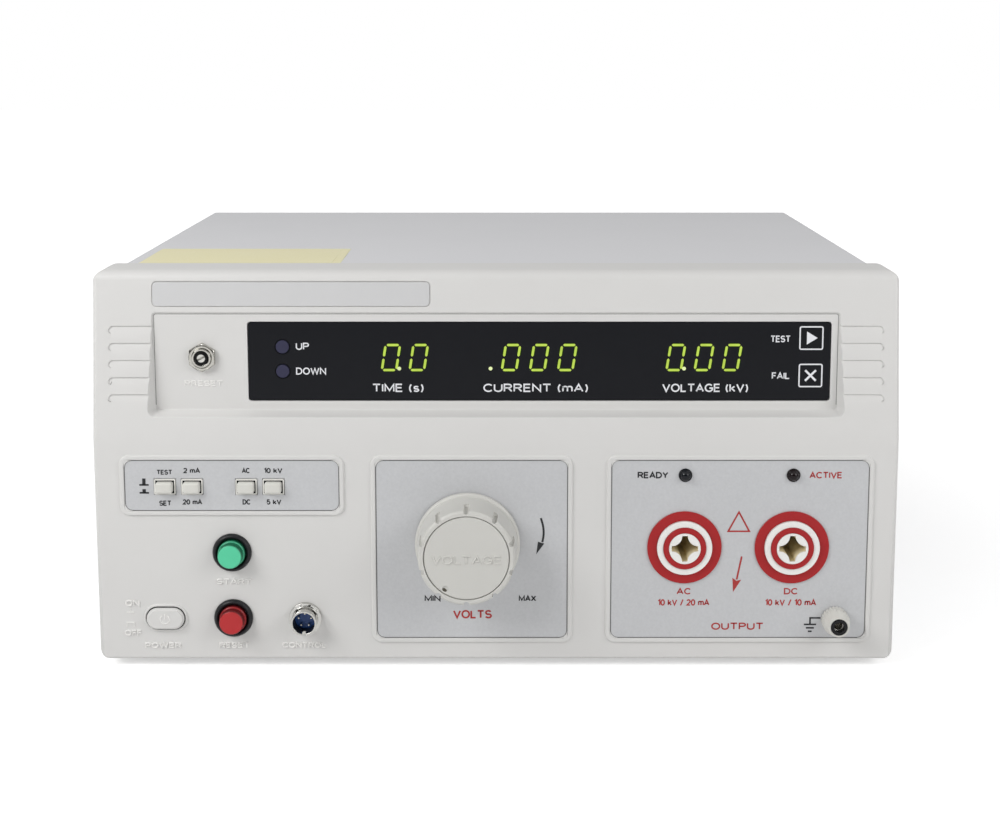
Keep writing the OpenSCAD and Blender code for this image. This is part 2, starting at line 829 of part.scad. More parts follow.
module signal_lights() {
    color("#8f2f2c") for (dz = signal_dz) {
        slab(signal_x, window_z + dz, module_d0, board_d) square(signal_w, center = true);
    }
}

// round key: a thin cap through the window on a stem that reaches its switch
module round_key(side) {
    stem_d = 3;
    color("#3d3c57") on_panel(key_x, key_z + side * key_pitch / 2) {
        translate([0, 0, -display_d - window_t]) cylinder(h = window_t + key_out, d = key_d);
        translate([0, 0, -key_end]) cylinder(h = key_end - display_d - window_t + over / 2, d = stem_d);
    }
}
module up_key() { round_key(1); }
module down_key() { round_key(-1); }

// preset control: body behind the recess, and a threaded bush through it with a hollow end
module preset_body() {
    bush_len = tub_back - display_d + preset_bush_out;
    bush_wall = 1;
    hollow = 1.6;
    color("#5a5c60") on_panel(preset_x, preset_z, tub_back) difference() {
        union() {
            translate([0, 0, -preset_body_t]) cylinder(h = preset_body_t, d = preset_body_d);
            cylinder(h = bush_len, d = preset_bush_d);
        }
        translate([0, 0, -preset_body_t / 2])
            cylinder(h = preset_body_t + bush_len, d = preset_shaft_d + 2 * run);
        translate([0, 0, bush_len - hollow]) cylinder(h = hollow + over, d = preset_bush_d - 2 * bush_wall);
    }
}

// hexagon nut with its front corners turned off
module preset_nut() {
    preset_face = preset_nut_w - 0.3;
    color("#c8c8c6") on_panel(preset_x, preset_z, display_d) difference() {
        intersection() {
            rotate(30) cylinder(h = preset_nut_t, d = preset_nut_w / cos(30), $fn = 6);
            cylinder(h = preset_nut_t, d1 = preset_face + 2 * preset_nut_t * tan(preset_nut_slope), d2 = preset_face);
        }
        translate([0, 0, -over]) cylinder(h = preset_nut_t + 2 * over, d = preset_bush_d + 2 * run);
    }
}

module preset_shaft() {
    slot_w = 0.9;
    slot_t = 1.2;
    slot_a = 28;
    shaft_out = preset_bush_out + clear;
    end = tub_back - display_d + preset_body_t / 2 - clear;
    color("#dad9d4") on_panel(preset_x, preset_z, display_d) difference() {
        translate([0, 0, -end]) cylinder(h = end + shaft_out, d = preset_shaft_d);
        rotate(slot_a) translate([-preset_shaft_d, -slot_w / 2, shaft_out - slot_t])
            cube([2 * preset_shaft_d, slot_w, slot_t + over]);
    }
}

// latching switches: a body on the back of the face with a frame through it
module latch_bodies() {
    color("#cfcec9") for (x = latch_x) difference() {
        union() {
            slab(x, latch_z, wall, wall + latch_body_len)
                square([latch_frame_w + slip, latch_body_h], center = true);
            slab(x, latch_z, -latch_frame_out, wall + over)
                rounded_rect(latch_frame_w, latch_frame_h, latch_frame_wall);
        }
        slab(x, latch_z, -latch_frame_out - over, latch_pocket)
            square([latch_hole_w, latch_hole_h], center = true);
    }
}

module latch_button(i) {
    face_r = 0.9;
    step = 0.5;
    color("#dcdbd5") {
        slab(latch_x[i], latch_z, -latch_out + step, latch_end)
            rounded_rect(latch_w, latch_h, face_r);
        slab(latch_x[i], latch_z, -latch_out, -latch_out + step)
            rounded_rect(latch_w - step, latch_h - step, face_r);
    }
}
module latch_button_1() { latch_button(0); }
module latch_button_2() { latch_button(1); }
module latch_button_3() { latch_button(2); }
module latch_button_4() { latch_button(3); }

// push switch: a dished black ring in front, a barrel through the face and a body behind
module push_switch(z) {
    lip = 0.8;
    r = push_ring_d / 2;
    color("#212226") on_panel(push_x, z) difference() {
        union() {
            rotate_extrude() polygon([[0, 0], [r, 0], [r, lip], [r - lip, push_ring_out],
                [push_bore / 2 + lip, push_ring_out], [push_bore / 2, push_ring_out - lip],
                [0, push_ring_out - lip]]);
            translate([0, 0, -wall]) cylinder(h = wall + lip, d = push_barrel_d);
            translate([0, 0, -wall - push_body_len]) cylinder(h = push_body_len, d = push_ring_d);
        }
        translate([0, 0, -push_pocket]) cylinder(h = push_pocket + push_ring_out + over, d = push_bore);
    }
}
module start_switch() { push_switch(start_z); }
module reset_switch() { push_switch(row_z); }

// push cap: a collar that just shows above the ring, and a narrower front part with a bevelled face
module push_cap(z) {
    bevel = 0.5;
    collar = push_ring_out + 1;
    r = push_cap_d / 2;
    face_r = r - push_step;
    on_panel(push_x, z) rotate_extrude()
        polygon([[0, -push_end], [r, -push_end], [r, collar - bevel], [r - bevel, collar], [face_r, collar],
            [face_r, push_cap_out - bevel], [face_r - bevel, push_cap_out], [0, push_cap_out]]);
}
module start_cap() { color("#55c79a") push_cap(start_z); }
module reset_cap() { color("#b93438") push_cap(row_z); }

module power_switch() {
    body_rim = 4;
    color("#3a3a3c") difference() {
        slab(power_x, row_z, wall, wall + power_body_len)
            square([power_hole_w + body_rim, power_hole_h + body_rim], center = true);
        slab(power_x, row_z, wall - over, power_pocket) stadium(power_hole_w, power_hole_h);
    }
}

module power_button() {
    step = 0.7;
    color("#d6d5d1") {
        slab(power_x, row_z, -power_out + step, power_end) stadium(power_w, power_h);
        slab(power_x, row_z, -power_out, -power_out + step) stadium(power_w - 2 * step, power_h - 2 * step);
    }
}

// round control socket: a chromed barrel with a key slot, an insert deep inside it and a ring of pins
module control_shell() {
    slot_w = 2;
    slot_len = 4;
    nut_t = 3;
    color("#d5d6d8") on_panel(control_x, row_z) difference() {
        union() {
            translate([0, 0, -control_back]) cylinder(h = control_back + control_out, d = control_d);
            cylinder(h = control_flange_t, d = control_flange_d);
            translate([0, 0, -wall - nut_t]) cylinder(h = nut_t, d = control_flange_d);
        }
        translate([0, 0, -control_back - over])
            cylinder(h = control_back + control_out + 2 * over, d = control_bore);
        translate([-slot_w / 2, -control_d, control_out - slot_len])
            cube([slot_w, control_d, slot_len + over]);
    }
}

module control_insert() {
    color("#2b5fae") on_panel(control_x, row_z, control_back)
        cylinder(h = control_back + control_insert_out, d = control_bore - 2 * run);
}

module control_pins() {
    ring_r = control_bore / 2 - 2;
    color("#d9c98a") on_panel(control_x, row_z) for (i = [0 : control_pin_n - 1]) {
        rotate(90 + i * 360 / control_pin_n) translate([ring_r, 0, control_insert_out])
            cylinder(h = control_pin_len, d = control_pin_d, $fn = 24);
    }
}

// regulator knob: skirt, tapered body with notches in its front edge, seat for the cap and shaft bore
module regulator_knob() {
    r = knob_d / 2;
    front_r = knob_cap_d / 2 + knob_rim;
    body_r = front_r + 1.2;
    bevel = 0.8;
    notch_a = atan((body_r - front_r) / (knob_len - skirt_t));
    color("#d9d8d3") on_panel(knob_x, knob_z) difference() {
        rotate_extrude() polygon([[0, knob_back], [r, knob_back], [r, knob_back + skirt_t - bevel],
            [r - bevel, knob_back + skirt_t], [body_r, knob_back + skirt_t],
            [front_r, knob_front - bevel], [front_r - bevel, knob_front], [0, knob_front]]);
        translate([0, 0, knob_front - knob_cap_t]) cylinder(h = knob_cap_t + over, d = knob_cap_d);
        translate([0, 0, knob_back - over]) cylinder(h = shaft_in_knob - knob_back + over, d = shaft_d);
        for (i = [0 : notch_n - 1]) {
            rotate(90 + i * 360 / notch_n) translate([front_r - notch_in, 0, knob_front])
                rotate([0, -notch_a, 0]) translate([0, 0, -notch_len]) {
                    cylinder(h = notch_len + over, d = notch_w);
                    sphere(d = notch_w);
                }
        }
    }
}

// thin front cap with an index dimple that points at the low end of the scale
module knob_cap() {
    dimple_d = 2.6;
    dimple_t = 0.7;
    dimple_in = 0.6;
    r = knob_cap_d / 2 - knob_seam;
    color("#dddcd7") on_panel(knob_x, knob_z) difference() {
        translate([0, 0, knob_front - knob_cap_t]) cylinder(h = knob_cap_t, r = r);
        rotate(index_a) translate([r - dimple_d / 2 - dimple_in, 0, knob_front - dimple_t])
            cylinder(h = dimple_t + over, d = dimple_d);
    }
}

module variac_shaft() {
    color("#b4b6b8") on_panel(knob_x, knob_z, arm_d0 + arm_t)
        cylinder(h = arm_d0 + arm_t + shaft_in_knob, d = shaft_d);
}

// brush arm on the shaft's rear end, with the brush just over the winding
module variac_arm() {
    reach = variac_d / 2 - 8;
    arm_w = 10;
    arm_start = variac_hub_d / 2;
    color("#a78a52") on_panel(knob_x, knob_z, arm_d0 + arm_t) difference() {
        union() {
            cylinder(h = arm_t, d = variac_hub_d + 6);
            rotate(index_a) translate([arm_start, -arm_w / 2, 0])
                cube([reach - arm_start, arm_w, arm_t - clear]);
        }
        translate([0, 0, -over]) cylinder(h = arm_t + 2 * over, d = shaft_d);
    }
}

module variac_winding() {
    corner = 3;
    r0 = variac_hole_d / 2;
    r1 = variac_d / 2;
    color("#a9622f") on_panel(knob_x, knob_z, variac_d1) rotate_extrude()
        translate([(r0 + r1) / 2, variac_len / 2]) rounded_rect(r1 - r0, variac_len, corner);
}

// round base plate on the sub-panel with the hub that the shaft runs in
module variac_base() {
    color("#8b8d90") on_panel(knob_x, knob_z, variac_d1 - clear) difference() {
        union() {
            translate([0, 0, variac_len - clear]) cylinder(h = variac_plate_t, d = variac_d - 12);
            cylinder(h = variac_len, d = variac_hub_d);
        }
        translate([0, 0, -over])
            cylinder(h = variac_len + variac_plate_t + 2 * over, d = shaft_d + 2 * run);
    }
}

// high-voltage socket: red ring on the label, white insulator tube, red sleeve, white core, brass liner
module socket_rings(x) {
    color("#b8383a") on_panel(x, socket_z) {
        translate([0, 0, label_t]) difference() {
            cylinder(h = ring_t, d = ring_d);
            translate([0, 0, -over]) cylinder(h = ring_t + 2 * over, d = insulator_d + 2 * run);
        }
        translate([0, 0, -sleeve_end]) difference() {
            cylinder(h = sleeve_end + sleeve_out, d = sleeve_d);
            translate([0, 0, -over]) cylinder(h = sleeve_end + sleeve_out + 2 * over, d = core_d + 2 * run);
        }
    }
}

// four-point hole with hollow sides: a square less four corner circles
module star(grow) {
    half = star_w / 2;
    difference() {
        square(2 * (half + grow), center = true);
        for (sx = [-1, 1], sy = [-1, 1]) translate([sx * half, sy * half]) circle(half - star_gap - grow);
    }
}

module socket_insulators(x) {
    color("#efeeea") {
        on_panel(x, socket_z) difference() {
            union() {
                translate([0, 0, label_t]) cylinder(h = insulator_out - label_t, d = insulator_d);
                translate([0, 0, -tube_end]) cylinder(h = tube_end + insulator_out, d = tube_d);
            }
            translate([0, 0, -sleeve_end])
                cylinder(h = sleeve_end + insulator_out + over, d = sleeve_d + 2 * run);
            translate([0, 0, -tube_end - over])
                cylinder(h = tube_end + 2 * over, d = core_d + 2 * run);
        }
        difference() {
            on_panel(x, socket_z, tube_end) cylinder(h = tube_end + core_out, d = core_d);
            slab(x, socket_z, -core_out - over, -core_out + liner_lip + over / 2) star(0);
            slab(x, socket_z, -core_out + liner_lip, star_d) star(liner_t);
        }
    }
}

module socket_contact(x) {
    floor_t = 1;
    color("#b99a4d") difference() {
        slab(x, socket_z, -core_out + liner_lip, star_d) star(liner_t);
        slab(x, socket_z, -core_out - over, star_d - floor_t) star(0);
    }
}
module ac_rings() { socket_rings(socket_x[0]); }
module ac_insulators() { socket_insulators(socket_x[0]); }
module ac_contact() { socket_contact(socket_x[0]); }
module dc_rings() { socket_rings(socket_x[1]); }
module dc_insulators() { socket_insulators(socket_x[1]); }
module dc_contact() { socket_contact(socket_x[1]); }

// earth post: a bored brass stud held by collars, with a ribbed nut and its end cap turning on it
module earth_stud() {
    stud_out = earth_nut_out - earth_cap_t - earth_nut_gap;
    color("#bfa05a") on_panel(earth_x, earth_z) difference() {
        union() {
            translate([0, 0, -earth_end]) cylinder(h = earth_end + stud_out, d = earth_stud_d);
            translate([0, 0, -wall - earth_collar_t]) cylinder(h = earth_collar_t, d = earth_collar_d);
        }
        translate([0, 0, -earth_end / 4]) cylinder(h = earth_end + earth_nut_out, d = earth_bore_d);
    }
}

module earth_nut() {
    rib_n = 24;
    rib_d = 0.9;
    r = earth_nut_d / 2;
    z0 = label_t + earth_nut_gap;
    color("#dedcd2") on_panel(earth_x, earth_z, -z0) difference() {
        rotate_extrude() polygon([[0, 0], [r, 0], [r, earth_grip_len], [earth_tip_d / 2, earth_nut_len],
            [0, earth_nut_len]]);
        for (i = [0 : rib_n - 1]) {
            rotate(i * 360 / rib_n) translate([r + rib_d / 8, 0, -over])
                cylinder(h = earth_nut_len + over, d = rib_d, $fn = 16);
        }
        translate([0, 0, -over]) cylinder(h = earth_nut_len + 2 * over, d = earth_stud_d + 2 * run);
        translate([0, 0, earth_nut_len - earth_cap_t])
            cylinder(h = earth_cap_t + over, d = earth_cap_d + 2 * run);
    }
}

module earth_cap() {
    color("#1c1c1f") on_panel(earth_x, earth_z, -earth_nut_out + earth_cap_t) difference() {
        cylinder(h = earth_cap_t + earth_cap_out, d = earth_cap_d);
        translate([0, 0, -over])
            cylinder(h = earth_cap_t + earth_cap_out + 2 * over, d = earth_bore_d + 2 * clear);
    }
}

// indicator lamp: a domed lens with a thin flange on the label
module lamp(x) {
    r = lamp_d / 2;
    on_panel(x, lamp_z) {
        translate([0, 0, -lamp_len]) cylinder(h = lamp_len + label_t + lamp_flange_t, d = lamp_d);
        translate([0, 0, label_t]) cylinder(h = lamp_flange_t, d = lamp_flange);
        translate([0, 0, label_t + lamp_flange_t]) intersection() {
            sphere(d = lamp_d);
            translate([-r, -r, -lamp_flange_t / 2]) cube(lamp_d);
        }
    }
}
module safety_lamp() { color("#2c333d") lamp(socket_x[0]); }
module danger_lamp() { color("#35191f") lamp(socket_x[1]); }

// laminated core with two windows, and the winding round its middle leg
module transformer_core() {
    d = case_d - core_back_gap - iron[1] / 2;
    color("#6d6f73") difference() {
        block([core_x - iron[0] / 2, d - iron[1] / 2, floor_z],
            [core_x + iron[0] / 2, d + iron[1] / 2, floor_z + iron[2]]);
        for (s = [-1, 1]) {
            slab(core_x + s * (leg_w + iron_window[0]) / 2, floor_z + iron[2] / 2, d - iron[1], d + iron[1])
                square(iron_window, center = true);
        }
    }
}

module transformer_coil() {
    d = case_d - core_back_gap - iron[1] / 2;
    half = [leg_w / 2 + iron_window[0] - slip, iron[1] / 2 + coil_wall, iron_window[1] / 2 - slip];
    hole = [leg_w / 2 + slip, iron[1] / 2 + slip, iron[2]];
    mid = [core_x, d, floor_z + iron[2] / 2];
    color("#7d3b22") difference() {
        block(mid - half, mid + half);
        block(mid - hole, mid + hole);
    }
}

// control board on four standoffs, with its larger components
module control_board() {
    half = [pcb[0] / 2, pcb[1] / 2];
    top = floor_z + standoff_h;
    color("#2f6b46") {
        block([board_x - half[0], board_mid - half[1], top],
            [board_x + half[0], board_mid + half[1], top + pcb[2]]);
        for (sx = [-1, 1], sy = [-1, 1]) {
            x = board_x + sx * (half[0] - standoff_inset);
            d = board_mid + sy * (half[1] - standoff_inset);
            translate([x, face_y + d, base_z + floor_z]) cylinder(h = standoff_h, d = standoff_d);
        }
    }
}

// three capacitor cans, three relays and a heat sink
module control_parts() {
    top = floor_z + standoff_h + pcb[2];
    color("#3b3c40") {
        for (i = [-1 : 1]) {
            x = board_x + i * part_pitch;
            translate([x, face_y + can_d, base_z + top]) cylinder(h = can[1], d = can[0]);
            block([x - relay[0] / 2, relay_d, top], [x + relay[0] / 2, relay_d + relay[1], top + relay[2]]);
        }
        block([board_x - sink[0] / 2, sink_d, top], [board_x + sink[0] / 2, sink_d + sink[1], top + sink[2]]);
    }
}

// potted high-voltage rectifier with two terminal posts
module rectifier_block() {
    x = socket_x[1];
    post = [8, 12];
    half = block_size[0] / 2;
    top = floor_z + block_size[2];
    color("#2d2f36") {
        block([x - half, block_back, floor_z], [x + half, block_back + block_size[1], top]);
        for (s = [-1, 1]) {
            translate([x + s * half / 2, face_y + block_back + block_size[1] / 2, base_z + top])
                cylinder(h = post[1], d = post[0]);
        }
    }
}

// mains inlet with a keyed cavity and a slot for the fuse drawer below it
module inlet_cavity() {
    w = cavity_w / 2;
    h = cavity_h / 2;
    polygon([[-w, -h], [w, -h], [w, h - cavity_cut], [w - cavity_cut, h],
        [cavity_cut - w, h], [-w, h - cavity_cut]]);
}

module inlet_housing() {
    color("#1f2022") on_rear(inlet_x, inlet_z) difference() {
        union() {
            linear_extrude(inlet_t) rounded_rect(inlet_w, inlet_h, inlet_r);
            translate([0, 0, -inlet_body_len]) linear_extrude(inlet_body_len)
                square([inlet_body_w, inlet_body_h], center = true);
        }
        translate([0, cavity_z, inlet_t - cavity_len]) linear_extrude(cavity_len + over) inlet_cavity();
        translate([0, drawer_z, inlet_t - drawer_len - clear]) linear_extrude(drawer_len + clear + over)
            square([drawer_w + 2 * clear, drawer_h + 2 * clear], center = true);
        for (p = [[-blade_dx, -blade_dz], [blade_dx, -blade_dz], [0, blade_dz]]) {
            translate([p[0], cavity_z + p[1], -inlet_body_len - over]) linear_extrude(inlet_body_len)
                square([blade[1], blade[0]], center = true);
        }
    }
}

module inlet_pins() {
    color("#c3c0b4") on_rear(inlet_x, inlet_z) {
        for (p = [[-blade_dx, -blade_dz], [blade_dx, -blade_dz], [0, blade_dz]]) {
            translate([p[0], cavity_z + p[1], -inlet_body_len - blade_root])
                linear_extrude(inlet_body_len + blade_root + inlet_t - cavity_len + blade_len)
                square([blade[1], blade[0]], center = true);
        }
    }
}

module fuse_drawer() {
    grip = [8, 3, 0.8];
    color("#26272a") on_rear(inlet_x, inlet_z) difference() {
        translate([0, drawer_z, inlet_t - drawer_len]) linear_extrude(drawer_len + drawer_lip)
            square([drawer_w, drawer_h], center = true);
        translate([-grip[0] / 2, drawer_z - grip[1] / 2, inlet_t + drawer_lip - grip[2]])
            cube(grip + [0, 0, over]);
    }
}

front_bezel();
front_subpanel();
base_chassis();
top_cover();
rear_panel();
rubber_feet();
case_screws();
display_window();
name_strip();
switch_label();
regulator_label();
output_label();
display_board();
digit_modules();
signal_lights();
up_key();
down_key();
preset_body();
preset_nut();
preset_shaft();
latch_bodies();
latch_button_1();
latch_button_2();
latch_button_3();
latch_button_4();
start_switch();
start_cap();
reset_switch();
reset_cap();
power_switch();
power_button();
control_shell();
control_insert();
control_pins();
regulator_knob();
knob_cap();
variac_shaft();
variac_arm();
variac_winding();
variac_base();
ac_rings();
ac_insulators();
ac_contact();
dc_rings();
dc_insulators();
dc_contact();
earth_stud();
earth_nut();
earth_cap();
safety_lamp();
danger_lamp();
transformer_core();
transformer_coil();
control_board();
control_parts();
rectifier_block();
inlet_housing();
inlet_pins();
fuse_drawer();
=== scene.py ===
import json
import math

import bmesh
import bpy
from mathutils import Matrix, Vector


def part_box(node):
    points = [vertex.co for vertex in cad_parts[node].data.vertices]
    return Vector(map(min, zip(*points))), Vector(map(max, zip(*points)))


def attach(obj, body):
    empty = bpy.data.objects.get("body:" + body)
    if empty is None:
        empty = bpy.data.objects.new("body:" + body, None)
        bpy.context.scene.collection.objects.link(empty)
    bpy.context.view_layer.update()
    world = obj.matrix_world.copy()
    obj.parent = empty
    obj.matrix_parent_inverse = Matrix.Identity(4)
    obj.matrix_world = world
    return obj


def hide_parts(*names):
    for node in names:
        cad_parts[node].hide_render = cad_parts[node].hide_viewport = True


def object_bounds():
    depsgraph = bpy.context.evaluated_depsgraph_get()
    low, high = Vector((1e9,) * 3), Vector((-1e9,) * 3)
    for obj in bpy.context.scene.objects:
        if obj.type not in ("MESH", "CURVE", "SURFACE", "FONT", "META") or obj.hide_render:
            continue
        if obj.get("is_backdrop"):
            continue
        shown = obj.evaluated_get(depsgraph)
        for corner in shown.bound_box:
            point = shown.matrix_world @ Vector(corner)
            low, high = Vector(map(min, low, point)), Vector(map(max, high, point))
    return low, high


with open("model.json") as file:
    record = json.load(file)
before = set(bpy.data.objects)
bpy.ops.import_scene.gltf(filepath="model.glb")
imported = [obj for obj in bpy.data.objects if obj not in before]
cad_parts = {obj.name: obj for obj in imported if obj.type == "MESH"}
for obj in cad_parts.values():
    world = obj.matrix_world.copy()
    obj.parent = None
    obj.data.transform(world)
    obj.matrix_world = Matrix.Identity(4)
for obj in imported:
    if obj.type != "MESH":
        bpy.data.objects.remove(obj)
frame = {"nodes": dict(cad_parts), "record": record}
nodes = frame["nodes"]
cad_low, cad_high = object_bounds()

# Bottom tray and front sub-panel
# Folded steel sheet, 1.2 mm thick, zinc plated before folding. The tray carries the transformers and the
# boards, and the sub-panel stands behind the bezel and carries the voltage regulator.
body_of = {n: body for body, members in frame["record"]["behaviour"]["bodies"].items() for n in members}


def linear(code):
    """A colour written as sRGB hex, as the linear values that the shaders take."""
    parts = [int(code[i:i + 2], 16) / 255 for i in (1, 3, 5)]
    return tuple(c / 12.92 if c <= 0.04045 else ((c + 0.055) / 1.055) ** 2.4 for c in parts) + (1.0,)


def add(tree, kind, settings, sockets):
    """Adds one node: settings are its properties, sockets its inputs, each a value or an output to link."""
    made = tree.nodes.new(kind)
    for key, value in settings.items():
        setattr(made, key, value)
    for key, value in sockets.items():
        if isinstance(value, bpy.types.NodeSocket):
            tree.links.new(value, made.inputs[key])
        else:
            made.inputs[key].default_value = value
    return made


def blank(name):
    """A new material with an empty node tree, and its object coordinates in metres."""
    material = bpy.data.materials.new(name)
    material.use_nodes = True
    tree = material.node_tree
    tree.nodes.clear()
    return material, tree, add(tree, "ShaderNodeTexCoord", {}, {}).outputs["Object"]


def coat(node, material):
    """Gives a CAD node's own slots a better material."""
    for slot in nodes[node].material_slots:
        slot.material = material


# Zinc plate: grey metal with soft crystals a few millimetres wide that differ in tone and gloss.
zinc_plate, tree, place = blank("zinc_plated_steel")
crystal = add(tree, "ShaderNodeTexVoronoi", {"feature": "F1"}, {"Vector": place, "Scale": 1000 / 7})
tone = add(tree, "ShaderNodeMix", {"data_type": "RGBA"},
           {0: crystal.outputs["Distance"], 6: linear("#b9bdc1"), 7: linear("#cfd2d4")})
gloss = add(tree, "ShaderNodeMapRange", {},
            {"Value": crystal.outputs["Distance"], "To Min": 0.32, "To Max": 0.5})
shader = add(tree, "ShaderNodeBsdfPrincipled", {},
             {"Base Color": tone.outputs[2], "Metallic": 1.0, "Roughness": gloss.outputs["Result"]})
add(tree, "ShaderNodeOutputMaterial", {}, {"Surface": shader.outputs["BSDF"]})
for node in ("base_chassis", "front_subpanel"):
    coat(node, zinc_plate)

# Pieces inside the case
# Transformer core of varnished iron laminations, taped windings, boards with their parts and a potted
# rectifier: seen only through the slots, each in the finish that it is bought with.


def moulded(name, colour, shade, roughness, grain_mm, relief_mm, **sockets):
    """Moulded plastic: one colour that drifts slightly over centimetres, with the mould's grain in its gloss
    and relief."""
    material, tree, place = blank(name)
    drift = add(tree, "ShaderNodeTexNoise", {}, {"Vector": place, "Scale": 1000 / 30, "Detail": 3.0})
    grain = add(tree, "ShaderNodeTexNoise", {}, {"Vector": place, "Scale": 1000 / grain_mm, "Detail": 2.0})
    tone = add(tree, "ShaderNodeMix", {"data_type": "RGBA"},
               {0: drift.outputs["Fac"], 6: linear(shade), 7: linear(colour)})
    gloss = add(tree, "ShaderNodeMapRange", {},
                {"Value": grain.outputs["Fac"],
                 "To Min": max(0.03, roughness - 0.07), "To Max": roughness + 0.07})
    relief = add(tree, "ShaderNodeBump", {}, {"Height": grain.outputs["Fac"], "Distance": relief_mm / 1000})
    shader = add(tree, "ShaderNodeBsdfPrincipled", {},
                 {"Base Color": tone.outputs[2], "Roughness": gloss.outputs["Result"],
                  "Normal": relief.outputs["Normal"]})
    for key, value in sockets.items():
        shader.inputs[key.replace("_", " ")].default_value = value
    add(tree, "ShaderNodeOutputMaterial", {}, {"Surface": shader.outputs["BSDF"]})
    return material


# Laminated iron: dark grey sheets 0.5 mm thick, drawn at 1 mm so that the edges of the stack show.
lamination, tree, place = blank("varnished_laminations")
stack = add(tree, "ShaderNodeTexWave", {"bands_direction": "Y"},
            {"Vector": place, "Scale": 1000 / 20 / 1.0, "Distortion": 0.4})
tone = add(tree, "ShaderNodeMix", {"data_type": "RGBA"},
           {0: stack.outputs["Fac"], 6: linear("#3c3f44"), 7: linear("#6d7075")})
shader = add(tree, "ShaderNodeBsdfPrincipled", {},
             {"Base Color": tone.outputs[2], "Metallic": 0.6, "Roughness": 0.5})
add(tree, "ShaderNodeOutputMaterial", {}, {"Surface": shader.outputs["BSDF"]})
# Enamelled copper: a close winding of 1 mm wire, red brown and glossy between the turns.
enamelled_wire, tree, place = blank("enamelled_copper_wire")
turns = add(tree, "ShaderNodeTexWave", {"bands_direction": "Z"}, {"Vector": place, "Scale": 1000 / 20 / 1.0})
tone = add(tree, "ShaderNodeMix", {"data_type": "RGBA"},
           {0: turns.outputs["Fac"], 6: linear("#5e2c14"), 7: linear("#b9703a")})
relief = add(tree, "ShaderNodeBump", {}, {"Height": turns.outputs["Fac"], "Distance": 0.0003})
shader = add(tree, "ShaderNodeBsdfPrincipled", {},
             {"Base Color": tone.outputs[2], "Metallic": 0.7, "Roughness": 0.35,
              "Normal": relief.outputs["Normal"]})
add(tree, "ShaderNodeOutputMaterial", {}, {"Surface": shader.outputs["BSDF"]})
# Turned brass: bare yellow metal, uneven in gloss from the lathe, drawn at 0.8 mm so that it shows.
turned_brass, tree, place = blank("turned_brass")
rings = add(tree, "ShaderNodeTexNoise", {}, {"Vector": place, "Scale": 1000 / 0.8, "Detail": 2.0})
tone = add(tree, "ShaderNodeMix", {"data_type": "RGBA"},
           {0: rings.outputs["Fac"], 6: linear("#b3924f"), 7: linear("#d9bd7e")})
gloss = add(tree, "ShaderNodeMapRange", {}, {"Value": rings.outputs["Fac"], "To Min": 0.22, "To Max": 0.4})
shader = add(tree, "ShaderNodeBsdfPrincipled", {},
             {"Base Color": tone.outputs[2], "Metallic": 1.0, "Roughness": gloss.outputs["Result"]})
add(tree, "ShaderNodeOutputMaterial", {}, {"Surface": shader.outputs["BSDF"]})
# Bought parts in plain finishes: brown tape with some gloss, green board lacquer, dull dark nylon, black
# resin that shines where it was poured, and the red blocks of the state lights.
coil_tape = moulded("polyester_coil_tape", "#8a4a26", "#7a3d1e", 0.4, 2.0, 0.05)
solder_mask = moulded("green_solder_mask", "#2f6b46", "#285e3d", 0.35, 1.2, 0.02)
dark_moulding = moulded("dark_grey_nylon", "#3c3d40", "#343538", 0.5, 0.8, 0.02)
potting = moulded("black_epoxy_potting", "#26282e", "#202227", 0.3, 3.0, 0.05)
red_block = moulded("red_lamp_block", "#8f2f2c", "#822825", 0.35, 1.0, 0.02)
for node, material in (("transformer_core", lamination), ("transformer_coil", coil_tape),
                       ("variac_winding", enamelled_wire), ("variac_base", dark_moulding),
                       ("variac_arm", turned_brass), ("variac_shaft", zinc_plate),
                       ("control_board", solder_mask), ("display_board", solder_mask),
                       ("control_parts", dark_moulding), ("rectifier_block", potting),
                       ("digit_modules", dark_moulding), ("signal_lights", red_block),
                       ("preset_body", dark_moulding), ("power_switch", dark_moulding)):
    coat(node, material)

# Cover and rear panel
# The cover is one folded sheet, the rear panel a flat one, both powder coated light grey after punching.
# Slotted pan-head screws hold the cover to the tray and the rear panel to its flanges.


